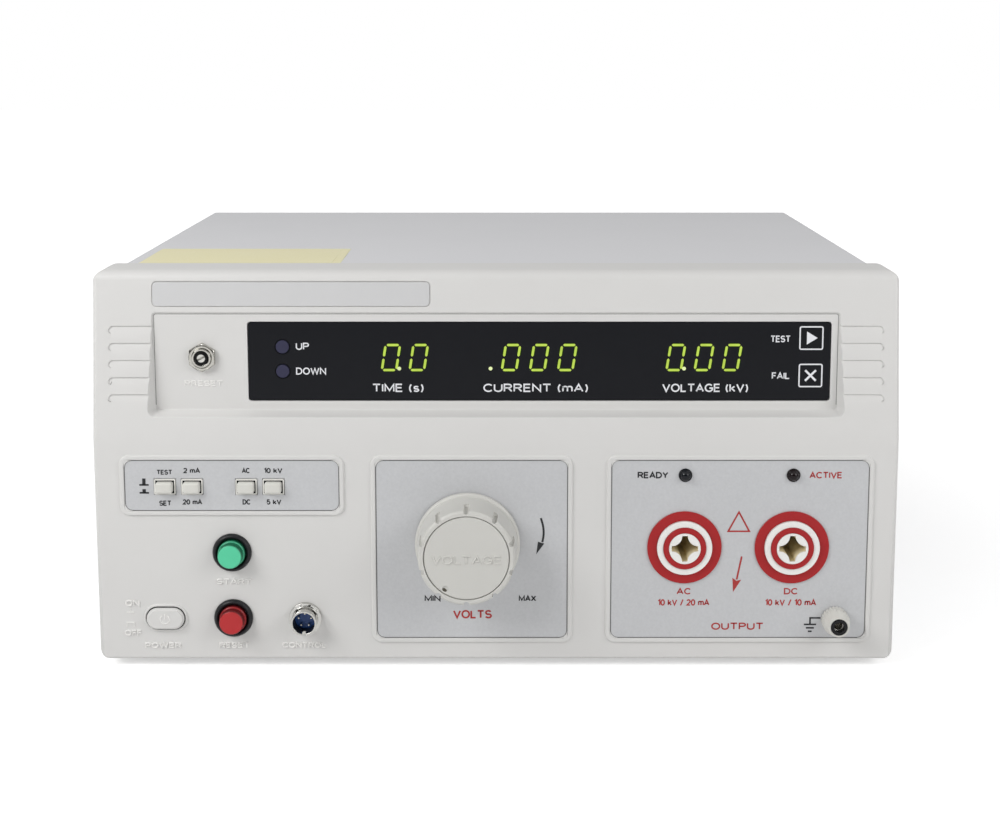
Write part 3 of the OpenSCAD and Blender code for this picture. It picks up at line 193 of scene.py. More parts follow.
def soften(node, width_mm, material, steps=3, corner=0.0):
    """The same solid as a CAD node, in its place, with its flat faces joined and its sharp edges rounded.
    Within the corner distance of its front corners the moulded curves already meet softly, and they stay.
    Faces with many corners are cut to triangles first, so that no opening is filled over."""
    flat, sharp = math.radians(0.2), math.radians(28)
    low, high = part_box(node)
    work = bmesh.new()
    work.from_mesh(nodes[node].data)
    bmesh.ops.remove_doubles(work, verts=work.verts, dist=1e-6)
    bmesh.ops.dissolve_limit(work, angle_limit=flat, verts=work.verts, edges=work.edges)
    bmesh.ops.triangulate(work, faces=[face for face in work.faces if len(face.verts) > 4])
    weight = work.edges.layers.float.new("bevel_weight_edge")
    for edge in work.edges:
        edge.smooth = True
        middle = (edge.verts[0].co + edge.verts[1].co) / 2
        at_side = min(middle.x - low.x, high.x - middle.x) < corner and middle.y < (low.y + high.y) / 2
        at_corner = at_side and min(middle.z - low.z, high.z - middle.z) < corner
        if edge.is_manifold and edge.calc_face_angle(0.0) > sharp and not at_corner:
            edge[weight] = 1.0
    for face in work.faces:
        face.smooth = True
    mesh = bpy.data.meshes.new(f"{node}_moulded")
    work.to_mesh(mesh)
    work.free()
    if "custom_normal" in mesh.attributes:
        mesh.attributes.remove(mesh.attributes["custom_normal"])
    mesh.materials.append(material)
    piece = bpy.data.objects.new(f"{node}_piece", mesh)
    bpy.context.scene.collection.objects.link(piece)
    rounding = piece.modifiers.new("rounding", "BEVEL")
    rounding.limit_method = "WEIGHT"
    rounding.width = width_mm / 1000
    rounding.segments = steps
    rounding.use_clamp_overlap = False
    rounding.harden_normals = False
    rounding.loop_slide = False
    flats = piece.modifiers.new("flats", "WEIGHTED_NORMAL")
    flats.keep_sharp = True
    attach(piece, body_of[node])
    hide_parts(node)
    return piece


# Powder coat: an even light grey with the orange peel of fused powder, ripples 1.6 mm wide.
powder_coat, tree, place = blank("powder_coated_steel")
peel = add(tree, "ShaderNodeTexNoise", {}, {"Vector": place, "Scale": 1000 / 1.6, "Detail": 2.0})
drift = add(tree, "ShaderNodeTexNoise", {}, {"Vector": place, "Scale": 1000 / 90, "Detail": 2.0})
tone = add(tree, "ShaderNodeMix", {"data_type": "RGBA"},
           {0: drift.outputs["Fac"], 6: linear("#d7d7da"), 7: linear("#dcdcdf")})
gloss = add(tree, "ShaderNodeMapRange", {}, {"Value": peel.outputs["Fac"], "To Min": 0.36, "To Max": 0.5})
relief = add(tree, "ShaderNodeBump", {}, {"Height": peel.outputs["Fac"], "Distance": 0.00004})
shader = add(tree, "ShaderNodeBsdfPrincipled", {},
             {"Base Color": tone.outputs[2], "Roughness": gloss.outputs["Result"],
              "Normal": relief.outputs["Normal"]})
add(tree, "ShaderNodeOutputMaterial", {}, {"Surface": shader.outputs["BSDF"]})
for node in ("top_cover", "rear_panel"):
    soften(node, 0.3, powder_coat, steps=2)
soften("case_screws", 0.1, zinc_plate, steps=2)

# Paper label on the cover
# A blank yellow paper label, stuck to the cover behind the bezel, with round corners and a faint crease.
cover_low, cover_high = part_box("top_cover")


def piece_of(name, work, material, body="housing"):
    """Turns a finished bmesh into a piece that rides on a body."""
    mesh = bpy.data.meshes.new(name)
    work.to_mesh(mesh)
    work.free()
    mesh.materials.append(material)
    piece = bpy.data.objects.new(name, mesh)
    bpy.context.scene.collection.objects.link(piece)
    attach(piece, body)
    return piece


# Uncoated paper: pale yellow with fibres just under a millimetre long, slightly faded in places.
yellow_paper, tree, place = blank("yellow_label_paper")
fibre = add(tree, "ShaderNodeTexNoise", {}, {"Vector": place, "Scale": 1000 / 0.9, "Detail": 4.0})
fade = add(tree, "ShaderNodeTexNoise", {}, {"Vector": place, "Scale": 1000 / 60})
both = add(tree, "ShaderNodeMath", {"operation": "MULTIPLY_ADD"},
           {0: fade.outputs["Fac"], 1: 0.6, 2: fibre.outputs["Fac"]})
tone = add(tree, "ShaderNodeMix", {"data_type": "RGBA"},
           {0: both.outputs["Value"], 6: linear("#f4ecb6"), 7: linear("#f9f3cc")})
relief = add(tree, "ShaderNodeBump", {}, {"Height": fibre.outputs["Fac"], "Distance": 0.00003})
shader = add(tree, "ShaderNodeBsdfPrincipled", {},
             {"Base Color": tone.outputs[2], "Roughness": 0.7, "Normal": relief.outputs["Normal"]})
add(tree, "ShaderNodeOutputMaterial", {}, {"Surface": shader.outputs["BSDF"]})
work = bmesh.new()
x0, x1, corner, paper, crease, fold = -0.177, -0.0774, 0.002, 0.00015, 0.0045, 0.0004
y0, y1 = cover_low.y + 0.011, cover_low.y + 0.0856
outline = []
for x, y, start in ((x1, y1, 0), (x0, y1, 90), (x0, y0, 180), (x1, y0, 270)):
    hub = (x + math.copysign(corner, -x + (x0 + x1) / 2), y + math.copysign(corner, -y + (y0 + y1) / 2))
    for k in range(6):
        a = math.radians(start + 18 * k)
        outline.append((hub[0] + corner * math.cos(a), hub[1] + corner * math.sin(a)))
rim = [work.verts.new((x, y, cover_high.z)) for x, y in outline]
sheet = bmesh.ops.extrude_face_region(work, geom=[work.faces.new(rim)])
for v in (g for g in sheet["geom"] if isinstance(g, bmesh.types.BMVert)):
    v.co.z += paper
for x in (x1 - crease - fold, x1 - crease, x1 - crease + fold):
    bmesh.ops.bisect_plane(work, geom=work.verts[:] + work.edges[:] + work.faces[:],
                           plane_co=(x, 0, 0), plane_no=(1, 0, 0))
for v in work.verts:
    if abs(v.co.x - (x1 - crease)) < 1e-5 and v.co.z > cover_high.z + paper / 2:
        v.co.z += paper
bmesh.ops.recalc_face_normals(work, faces=work.faces)
piece_of("cover_label", work, yellow_paper, body_of["top_cover"])

# Rubber feet
# Four moulded feet, pressed into the tray, of matt black rubber with a dusty bloom.
foot_rubber = moulded("moulded_black_rubber", "#232326", "#2d2d30", 0.75, 1.2, 0.05)
soften("rubber_feet", 1.2, foot_rubber)

# Mains inlet
# A bought inlet of black polyester with nickel-plated blades and a fuse drawer, snapped into the panel.
# Black polyester: a fine mould grain under a dull gloss, so that it never looks quite black.
black_polyester = moulded("black_polyester", "#151619", "#1b1c1f", 0.34, 0.8, 0.02, Specular_IOR_Level=0.35)
# Nickel plate: a warm bright metal, with the slight haze of a barrel-plated part.
nickel_plate, tree, place = blank("nickel_plated_brass")
haze = add(tree, "ShaderNodeTexNoise", {}, {"Vector": place, "Scale": 1000 / 1.5, "Detail": 3.0})
tone = add(tree, "ShaderNodeMix", {"data_type": "RGBA"},
           {0: haze.outputs["Fac"], 6: linear("#aeaca5"), 7: linear("#cccac4")})
gloss = add(tree, "ShaderNodeMapRange", {}, {"Value": haze.outputs["Fac"], "To Min": 0.08, "To Max": 0.2})
shader = add(tree, "ShaderNodeBsdfPrincipled", {},
             {"Base Color": tone.outputs[2], "Metallic": 1.0, "Roughness": gloss.outputs["Result"]})
add(tree, "ShaderNodeOutputMaterial", {}, {"Surface": shader.outputs["BSDF"]})
soften("inlet_housing", 0.5, black_polyester)
soften("fuse_drawer", 0.4, black_polyester)
soften("inlet_pins", 0.3, nickel_plate, steps=2)

# Front bezel
# One injection-moulded ABS shell that the case slips into from behind. The mould leaves a fine satin grain,
# tight radii on ribs and holes, and rounder ones on the outside edges.
face_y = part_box("switch_label")[1].y
base_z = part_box("front_bezel")[0].z

bezel_abs = moulded("grained_abs", "#d9d8d6", "#d5d4d2", 0.47, 0.9, 0.012)
soften("front_bezel", 0.4, bezel_abs, corner=0.0075)

# Embossed words on the bezel
# Plain control words that stand 0.6 mm proud of the face, moulded in one with the shell.


def spot(x, z, out=0.0):
    """A point of the front in metres, from millimetres: across, up from the bezel's lower edge, and out of
    the face."""
    return Vector((x / 1000, face_y - out / 1000, base_z + z / 1000))


def bow(x, z, rx, rz, start, end, steps=10):
    """Points along part of an ellipse, from one angle in degrees to another."""
    turn = [math.radians(start + (end - start) * i / steps) for i in range(steps + 1)]
    return [(x + rx * math.cos(a), z + rz * math.sin(a)) for a in turn]


# Strokes of a plain upright letter 10 units high: its width, then each stroke's points.
STROKES = {
    "A": (7.6, [(0, 0), (3.8, 10), (7.6, 0)], [(1.3, 3.2), (6.3, 3.2)]),
    "C": (7.4, bow(4.1, 5, 4.1, 5, 42, 318, 18)),
    "D": (7.2, [(0, 0), (0, 10), *bow(2.6, 5, 4.6, 5, 90, -90, 14), (0, 0)]),
    "E": (5.8, [(5.8, 0), (0, 0), (0, 10), (5.6, 10)], [(0, 5.2), (5.2, 5.2)]),
    "F": (5.4, [(0, 0), (0, 10), (5.4, 10)], [(0, 5.1), (4.8, 5.1)]),
    "G": (7.8, [*bow(4.1, 5, 4.1, 5, 42, 332, 18), (7.8, 4.7), (4.5, 4.7)]),
    "I": (0.1, [(0, 0), (0, 10)]),
    "L": (5.2, [(0, 10), (0, 0), (5.2, 0)]),
    "M": (8.4, [(0, 0), (0, 10), (4.2, 1.2), (8.4, 10), (8.4, 0)]),
    "N": (7.0, [(0, 0), (0, 10), (7, 0), (7, 10)]),
    "O": (8.2, bow(4.1, 5, 4.1, 5, 90, 450, 24)),
    "P": (6.3, [(0, 0), (0, 10), *bow(3.5, 7.4, 2.8, 2.6, 90, -90), (0, 4.8)]),
    "R": (6.8, [(0, 0), (0, 10), *bow(3.6, 7.5, 2.8, 2.5, 90, -90), (0, 5)], [(3.4, 5), (6.8, 0)]),
    "S": (6.4, [*bow(3.2, 7.4, 2.9, 2.6, 25, 250, 12), *bow(3.2, 2.6, 3.2, 2.6, 75, -160, 12)]),
    "T": (7.0, [(0, 10), (7, 10)], [(3.5, 10), (3.5, 0)]),
    "U": (6.8, [(0, 10), *bow(3.4, 3.4, 3.4, 3.4, 180, 360), (6.8, 10)]),
    "V": (7.4, [(0, 10), (3.7, 0), (7.4, 10)]),
    "W": (10.8, [(0, 10), (2.7, 0), (5.4, 9.6), (8.1, 0), (10.8, 10)]),
    "X": (7.0, [(0, 0), (7, 10)], [(0, 10), (7, 0)]),
    "Y": (7.0, [(0, 10), (3.5, 4.6), (7, 10)], [(3.5, 4.6), (3.5, 0)]),
    "0": (5.8, bow(2.9, 5, 2.9, 5, 90, 450, 22)),
    "1": (2.6, [(0, 7.8), (2.6, 10), (2.6, 0)]),
    "2": (5.8, [*bow(2.9, 7.1, 2.8, 2.9, 165, -42, 12), (0, 0), (5.8, 0)]),
    "5": (5.8, [(5.3, 10), (1.1, 10), (0.5, 5.2), *bow(2.8, 3.2, 3, 3.2, 125, -150, 14)]),
    "m": (8.4, [(0, 0), (0, 7)], [(0, 4.6), *bow(2.1, 4.9, 2.1, 2.1, 170, 0), (4.2, 0)],
          [(4.2, 4.6), *bow(6.3, 4.9, 2.1, 2.1, 170, 0), (8.4, 0)]),
    "k": (5.2, [(0, 0), (0, 10)], [(4.8, 7), (0, 2.7)], [(1.7, 4.3), (5.2, 0)]),
    "s": (4.4, [*bow(2.2, 5.2, 2, 1.8, 25, 250), *bow(2.2, 1.8, 2.2, 1.8, 75, -160)]),
    "(": (1.8, bow(4.2, 4.4, 4.2, 7, 130, 230)),
    ")": (1.8, bow(-2.4, 4.4, 4.2, 7, 50, -50)),
    "/": (4.2, [(0, -0.6), (4.2, 10.6)]),
    " ": (2.6,),
}


def ribbon(work, points, half, out, rise=0.0):
    """A line of even width through points of the front, with mitred corners: flat as print, or a raised bar
    with sloping sides where it has a rise. Widths and places are in millimetres."""
    closed = (Vector(points[0]) - Vector(points[-1])).length < 1e-3
    spots = [Vector(p) for p in (points[:-1] if closed else points)]
    count = len(spots)
    rows = []
    for i, p in enumerate(spots):
        before = spots[i - 1] if closed or i > 0 else None
        after = spots[(i + 1) % count] if closed or i < count - 1 else None
        d0 = (p - before).normalized() if before is not None else (after - p).normalized()
        d1 = (after - p).normalized() if after is not None else d0
        normal = Vector((-d0.y - d1.y, d0.x + d1.x)).normalized()
        reach = half / max(0.45, normal.dot(Vector((-d0.y, d0.x))))
        steps = ((1, 0), (0.4, 1), (-0.4, 1), (-1, 0)) if rise else ((1, 0), (-1, 0))
        rows.append([work.verts.new(spot(p.x + normal.x * reach * u, p.y + normal.y * reach * u,
                                         out + rise * v)) for u, v in steps])
    for i in range(count if closed else count - 1):
        this, after = rows[i], rows[(i + 1) % count]
        for k in range(len(this) - 1):
            work.faces.new([this[k], after[k], after[k + 1], this[k + 1]])
    if rise and not closed:
        work.faces.new(rows[0])
        work.faces.new(rows[-1][::-1])


def lettering(name, words, out, material, weight=0.16, rise=0.0, body="housing"):
    """Words in plain strokes as one piece. Each is its text and the box that it fills: x0, x1, z0, z1 in
    millimetres of the front. weight is the stroke's width as a share of the letters' height."""
    work = bmesh.new()
    gap = 2.4
    for text, x0, x1, z0, z1 in words:
        half = (z1 - z0) * weight / 2
        natural = sum(STROKES[c][0] for c in text) + gap * (len(text) - 1)
        wide, high = (x1 - x0 - 2 * half) / natural, (z1 - z0 - 2 * half) / 10
        pen = x0 + half
        for c in text:
            for line in STROKES[c][1:]:
                ribbon(work, [(pen + u * wide, z0 + half + v * high) for u, v in line], half, out, rise)
            pen += (STROKES[c][0] + gap) * wide
    bmesh.ops.recalc_face_normals(work, faces=work.faces)
    return piece_of(name, work, material, body)


# Polished ABS: the same plastic where the mould is smooth, its colour painted lighter than the shell as a
# painted highlight, so that the raised faces look lighter.
abs_painted_lighter = moulded("polished_abs_painted_highlight", "#eae9e7", "#e6e5e2", 0.35, 0.9, 0.006)
lettering("embossed_words", [
    ("START", -131.8, -115.2, 36.9, 39.9), ("RESET", -131.3, -116.7, 5.6, 8.6),
    ("POWER", -166.5, -149.0, 5.5, 8.5), ("CONTROL", -101.4, -80.5, 5.6, 8.6),
    ("ON", -175.2, -168.2, 26.1, 29.4), ("OFF", -175.8, -167.6, 11.6, 14.7),
], 0.0, abs_painted_lighter, weight=0.26, rise=0.6)
work = bmesh.new()
for line in ([(-174.6, 23.2), (-171.0, 23.2)], [(-172.8, 23.2), (-172.8, 25.0)],
             [(-174.6, 16.2), (-174.6, 18.2), (-171.2, 18.2), (-171.2, 16.2)]):
    ribbon(work, line, 0.3, 0.0, 0.35)
piece_of("embossed_switch_marks", work, abs_painted_lighter)

# Display window
# Smoked acrylic, 2 mm thick, set flush in the recess with an anti-glare front.
# It is almost black, with a soft sheen.
smoked_acrylic = moulded("smoked_acrylic", "#16171b", "#18191d", 0.22, 6.0, 0.002, Specular_IOR_Level=0.12)
soften("display_window", 0.25, smoked_acrylic, steps=2)
display_out = (face_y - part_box("display_window")[0].y) * 1000
# Painted shade: a grey bead in the corner between the recess's back and its walls, left open along the lower
# edge, that stands in for the shade in that corner.
corner_shade_grey = moulded("painted_recess_corner_shade", "#7d7c7a", "#8a8987", 0.7, 1.5, 0.02)
work = bmesh.new()
side, foot, top, r = 159.6, 121.6, 164.95, 1.2
ribbon(work, [(-side, foot), *bow(-side + r, top - r, r, r, 180, 90, 6),
              *bow(side - r, top - r, r, r, 90, 0, 6), (side, foot)], 0.3, display_out + 0.02)
piece_of("recess_corner_shade", work, corner_shade_grey)

# Lit digits
# Light from LED segments behind the window, shown as thin lit shapes on its face: slanted seven-segment
# figures 13 mm high, each segment in a faint green glow.


def segment(work, a, b, half, out):
    """One bar between two points of a figure, pointed at both ends."""
    along = Vector((b[0] - a[0], b[1] - a[1])).normalized()
    side = Vector((-along.y, along.x)) * half
    tip = along * half
    corners = [(a[0], a[1]), (a[0] + tip.x + side.x, a[1] + tip.y + side.y),
               (b[0] - tip.x + side.x, b[1] - tip.y + side.y), (b[0], b[1]),
               (b[0] - tip.x - side.x, b[1] - tip.y - side.y), (a[0] + tip.x - side.x, a[1] + tip.y - side.y)]
    work.faces.new([work.verts.new(spot(x, z, out)) for x, z in corners])


def figure_zero(work, x, half, out):
    """A lit zero whose lower left corner is at x: six bars on a slant."""
    wide, low, high, slant = 6.7, 138.2, 150.1, 0.155
    middle = (low + high) / 2

    def lean(u, z):
        return (x + u + (z - low) * slant, z)
    gap = 0.42
    bars = [((gap, low), (wide - gap, low)), ((gap, high), (wide - gap, high)),
            ((0, low + gap), (0, middle - gap)), ((wide, low + gap), (wide, middle - gap)),
            ((0, middle + gap), (0, high - gap)), ((wide, middle + gap), (wide, high - gap))]
    for (u0, z0), (u1, z1) in bars:
        segment(work, lean(u0, z0), lean(u1, z1), half, out)


def lit(name, colour, strength):
    """Light that shows at its own colour, slightly uneven along a bar as an LED behind a diffuser is."""
    material, tree, place = blank(name)
    uneven = add(tree, "ShaderNodeTexNoise", {}, {"Vector": place, "Scale": 1000 / 4})
    level = add(tree, "ShaderNodeMapRange", {},
                {"Value": uneven.outputs["Fac"], "To Min": strength * 0.75, "To Max": strength * 1.2})
    shader = add(tree, "ShaderNodeBsdfPrincipled", {},
                 {"Base Color": (0.0, 0.0, 0.0, 1.0), "Roughness": 0.4, "Emission Color": linear(colour),
                  "Emission Strength": level.outputs["Result"], "Specular IOR Level": 0.0})
    add(tree, "ShaderNodeOutputMaterial", {}, {"Surface": shader.outputs["BSDF"]})
    return material


# LED light through a dark window: yellow-green bars, a dim halo round each, and paler points.
led_green = lit("lit_led_green", "#c2dd5c", 1.0)
led_glow = lit("led_glow", "#1f3a12", 1.0)
led_point = lit("lit_led_point", "#e6f3b4", 1.0)
figures = (-53.4, -40.4, 2.7, 15.9, 29.0, 79.7, 92.9, 106.0)
for name, half, out, material in (("digit_glow", 0.95, 0.03, led_glow),
                                  ("lit_digits", 0.56, 0.05, led_green)):
    work = bmesh.new()
    for x in figures:
        figure_zero(work, x, half, display_out + out)
    piece_of(name, work, material)
work = bmesh.new()
point_r = 0.9
for x in (-45.3, -2.6, 87.9):
    hub = spot(x, 138.9, display_out + 0.06)
    rim = [work.verts.new(hub + Vector((point_r * math.cos(a), 0, point_r * math.sin(a))) / 1000)
           for a in (i * math.tau / 20 for i in range(20))]
    work.faces.new(rim)
piece_of("decimal_points", work, led_point)

# Print on the window
# White screen print: units under the figures, key words and two plain boxes for the state lights.
# The ink lies 0.04 mm thick on the window, dull and just short of white.
ink_out = display_out + 0.04
white_ink = moulded("white_screen_ink", "#e9eaee", "#e1e2e6", 0.5, 1.0, 0.005)
lettering("window_print", [
    ("UP", -93.5, -87.3, 147.8, 151.2), ("DOWN", -93.6, -79.5, 136.0, 139.4),
    ("TIME (s)", -58.0, -34.0, 127.7, 131.7), ("CURRENT (mA)", -6.0, 43.0, 127.7, 131.7),
    ("VOLTAGE (kV)", 77.8, 118.0, 127.7, 131.7), ("TEST", 128.0, 137.4, 151.4, 154.6),
    ("FAIL", 129.0, 137.4, 133.9, 137.1),
], ink_out, white_ink, weight=0.17)


def corner_box(x, z, wide, high, r):
    """A closed rectangular line with rounded corners round x, z, from its half width, half height and
    corner radius."""
    points = []
    for sx, sz, a0 in ((1, 1, 0), (-1, 1, 90), (-1, -1, 180), (1, -1, 270)):
        for k in range(5):
            a = math.radians(a0 + 22.5 * k)
            points.append((x + sx * (wide - r) + r * math.cos(a), z + sz * (high - r) + r * math.sin(a)))
    return points + points[:1]


work = bmesh.new()
for z in (153.4, 135.6):
    ribbon(work, corner_box(147.1, z, 5.3, 5.3, 0.7), 0.32, ink_out)
ribbon(work, [(144.6, 133.1), (149.6, 138.1)], 0.5, ink_out)
ribbon(work, [(144.6, 138.1), (149.6, 133.1)], 0.5, ink_out + 0.01)
work.faces.new([work.verts.new(spot(x, z, ink_out)) for x, z in
                ((145.0, 150.3), (150.0, 153.4), (145.0, 156.5))])
piece_of("window_boxes", work, white_ink)

# Up and down keys
# Two round silicone keys of dark violet that stand just proud of the window.
violet_silicone = moulded("violet_silicone", "#34344c", "#2f2f46", 0.6, 1.5, 0.01, Specular_IOR_Level=0.3)
for node in ("up_key", "down_key"):
    soften(node, 0.25, violet_silicone)

# Preset control
# A bought potentiometer: nickel-plated hexagon nut and threaded bush, and a slotted shaft of pale nylon.
pale_nylon = moulded("pale_nylon", "#d6d5d0", "#cfcec8", 0.45, 1.0, 0.01)
soften("preset_nut", 0.3, nickel_plate)
soften("preset_shaft", 0.1, pale_nylon)
soften("preset_body", 0.2, nickel_plate)
lettering("embossed_preset_word", [("PRESET", -146.0, -127.8, 130.4, 133.3)], display_out, abs_painted_lighter,
          weight=0.24, rise=0.35)
# Painted shade: a black ring pressed into the bush, its lip over the rim of the shaft, that stands in for the
# dark gap between bush and shaft.
bush_gap_shade = moulded("painted_bush_gap_shade", "#0a0a0b", "#0e0e10", 0.4, 0.6, 0.01, Specular_IOR_Level=0.2)
low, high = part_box("preset_shaft")
hub = Vector(((low.x + high.x) / 2, low.y, (low.z + high.z) / 2))
work = bmesh.new()
rows, sides = [], 48
for r, back in ((1.85, 0.3), (1.9, -0.08), (2.3, -0.15), (2.9, 0.0), (3.3, 0.6), (3.45, 1.3)):
    rows.append([work.verts.new(hub + Vector((r * math.cos(a), back, r * math.sin(a))) / 1000)
                 for a in (i * math.tau / sides for i in range(sides))])
for this, after in zip(rows, rows[1:]):
    for i in range(sides):
        work.faces.new([this[i], this[i - 1], after[i - 1], after[i]])
bmesh.ops.recalc_face_normals(work, faces=work.faces)
piece_of("preset_gap_shade", work, bush_gap_shade)

# Name strip and label plates
# Printed polycarbonate sheets with a silver-grey base print, glued inside the raised frames.
label_plates = ("switch_label", "regulator_label", "output_label")


def centre_of(low, high):
    """The middle of a box across the front, in millimetres: x, and z up from the bezel's lower edge."""
    return (low.x + high.x) * 500, ((low.z + high.z) / 2 - base_z) * 1000


# Silver print: flakes about a millimetre wide that glint unevenly, over a slow drift in tone.
silver_print, tree, place = blank("silver_printed_sheet")
flake = add(tree, "ShaderNodeTexNoise", {}, {"Vector": place, "Scale": 1000 / 1.1, "Detail": 3.0})
drift = add(tree, "ShaderNodeTexNoise", {}, {"Vector": place, "Scale": 1000 / 40})
both = add(tree, "ShaderNodeMath", {"operation": "MULTIPLY_ADD"},
           {0: drift.outputs["Fac"], 1: 0.4, 2: flake.outputs["Fac"]})
tone = add(tree, "ShaderNodeMix", {"data_type": "RGBA"},
           {0: both.outputs["Value"], 6: linear("#babbbd"), 7: linear("#c9cacc")})
gloss = add(tree, "ShaderNodeMapRange", {}, {"Value": flake.outputs["Fac"], "To Min": 0.38, "To Max": 0.55})
shader = add(tree, "ShaderNodeBsdfPrincipled", {},
             {"Base Color": tone.outputs[2], "Metallic": 0.1, "Roughness": gloss.outputs["Result"]})
add(tree, "ShaderNodeOutputMaterial", {}, {"Surface": shader.outputs["BSDF"]})
for node in label_plates:
    soften(node, 0.12, silver_print, steps=2)
# Small webs of the same moulding that round the inner corners of each frame over the sheet's corners.
web_r = 3.4
work = bmesh.new()
for node in label_plates:
    low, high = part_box(node)
    level = (face_y - low.y) * 1000
    for cx, sx in ((low.x * 1000, -1), (high.x * 1000, 1)):
        for cz, sz in (((low.z - base_z) * 1000, -1), ((high.z - base_z) * 1000, 1)):
            line = [(cx + sx * 0.3, cz + sz * 0.3)]
            line += [(cx + sx * web_r * (math.cos(a) - 1), cz + sz * web_r * (math.sin(a) - 1))
                     for a in (math.radians(15 * k) for k in range(7))]
            top = [work.verts.new(spot(u, v, level + 0.35)) for u, v in line]
            foot = [work.verts.new(spot(u, v, level - 0.1)) for u, v in line]
            work.faces.new(top)
            for k in range(len(line)):
                work.faces.new([top[k - 1], top[k], foot[k], foot[k - 1]])
bmesh.ops.recalc_face_normals(work, faces=work.faces)
piece_of("frame_webs", work, bezel_abs)
# Painted shade: a dark grey line that fills the narrow gap between each sheet and its frame, where the gap's
# shade falls.
label_gap_shade = moulded("painted_label_gap_shade", "#6a6a6a", "#767676", 0.6, 1.5, 0.01)
work = bmesh.new()
for node in label_plates:
    low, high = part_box(node)
    ribbon(work, corner_box(*centre_of(low, high), (high.x - low.x) * 500, (high.z - low.z) * 500, web_r),
           0.25, (face_y - low.y) * 1000 + 0.01)
piece_of("label_edge_shade", work, label_gap_shade)
# Plain strip: the same sheet with a lighter, evener print, close to the bezel's own tone.
strip_sheet = moulded("grey_printed_strip", "#cfcfcf", "#cbcbcc", 0.4, 0.8, 0.006)
soften("name_strip", 0.12, strip_sheet, steps=2)

# Print on the label plates
# Screen print in black and red: plain ranges, words for the ends of travel, arrows and the earth sign.
label_out = (face_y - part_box("switch_label")[0].y) * 1000
black_ink = moulded("black_screen_ink", "#16171a", "#1b1c20", 0.5, 1.0, 0.005)
red_ink = moulded("red_screen_ink", "#ab2f2c", "#a32a28", 0.5, 1.0, 0.005)
print_out = label_out + 0.03
lettering("black_print", [
    ("TEST", -158.4, -151.0, 90.2, 92.6), ("2 mA", -145.9, -138.0, 90.9, 93.5),
    ("AC", -118.6, -114.8, 90.9, 93.5), ("10 kV", -108.3, -99.6, 90.9, 93.5),
    ("SET", -157.6, -151.8, 75.2, 77.8), ("20 mA", -146.6, -137.4, 75.8, 78.4),
    ("DC", -118.6, -114.8, 75.8, 78.4), ("5 kV", -107.4, -100.4, 75.8, 78.4),
    ("MIN", -33.8, -26.2, 28.7, 31.7), ("MAX", 10.6, 18.9, 28.7, 31.7),
    ("READY", 66.0, 80.4, 88.4, 91.6),
], print_out, black_ink, weight=0.22)
lettering("red_print", [
    ("VOLTS", -20.4, -2.0, 20.3, 24.5), ("AC", 85.0, 91.8, 32.1, 35.3),
    ("10 kV / 20 mA", 76.2, 100.6, 26.6, 29.8), ("DC", 135.6, 142.2, 32.1, 35.3),
    ("10 kV / 10 mA", 126.8, 151.0, 26.6, 29.8), ("OUTPUT", 101.6, 126.4, 14.7, 18.3),
    ("ACTIVE", 146.2, 161.6, 88.4, 91.6),
], print_out, red_ink, weight=0.2)
work = bmesh.new()
sweep = [(20.7 + 1.6 * math.sin(math.pi * (0.05 + 0.75 * t)), 69.3 - 11.7 * t) for t in
         (i / 12 for i in range(13))]
ribbon(work, sweep, 0.5, print_out)
work.faces.new([work.verts.new(spot(x, z, print_out + 0.01)) for x, z in
                ((18.8, 51.7), (22.6, 57.0), (21.3, 57.3), (19.6, 57.9))])
for x0, x1, z in ((145.4, 151.2, 17.4), (146.4, 150.2, 15.7), (147.4, 149.2, 14.0)):
    ribbon(work, [(x0, z), (x1, z)], 0.4, print_out)
ribbon(work, [(148.3, 17.4), (148.3, 20.6), (153.2, 20.6)], 0.4, print_out)
for foot, top in ((85.3, 88.4), (81.5, 83.3)):
    ribbon(work, [(-166.6, foot), (-162.2, foot)], 0.42, print_out)
    ribbon(work, [(-164.4, foot), (-164.4, top)], 0.8, print_out)
piece_of("black_marks", work, black_ink)
work = bmesh.new()
ribbon(work, [(108.8, 62.9), (118.7, 62.9), (113.7, 72.2), (108.8, 62.9)], 0.4, print_out)
ribbon(work, [(115.4, 50.7), (113.2, 39.4)], 0.42, print_out)
work.faces.new([work.verts.new(spot(x, z, print_out + 0.01)) for x, z in
                ((111.6, 33.2), (115.4, 39.4), (113.1, 38.8), (111.2, 40.3))])
piece_of("red_marks", work, red_ink)

# Latching buttons
# Ivory ABS push buttons with pillow-shaped fronts, each in a thin frame, with painted shade in the pocket
# round the button.
ivory_abs = moulded("ivory_abs", "#d8d7d1", "#d2d1ca", 0.36, 1.0, 0.008)
# The frames are painted whiter than the ivory moulding, as painted light that stands in for the highlights on
# their thin fronts.
frame_abs_painted_light = moulded("frame_abs_painted_lighter", "#efeee8", "#e9e8e2", 0.36, 1.0, 0.008)
soften("latch_bodies", 0.08, frame_abs_painted_light)


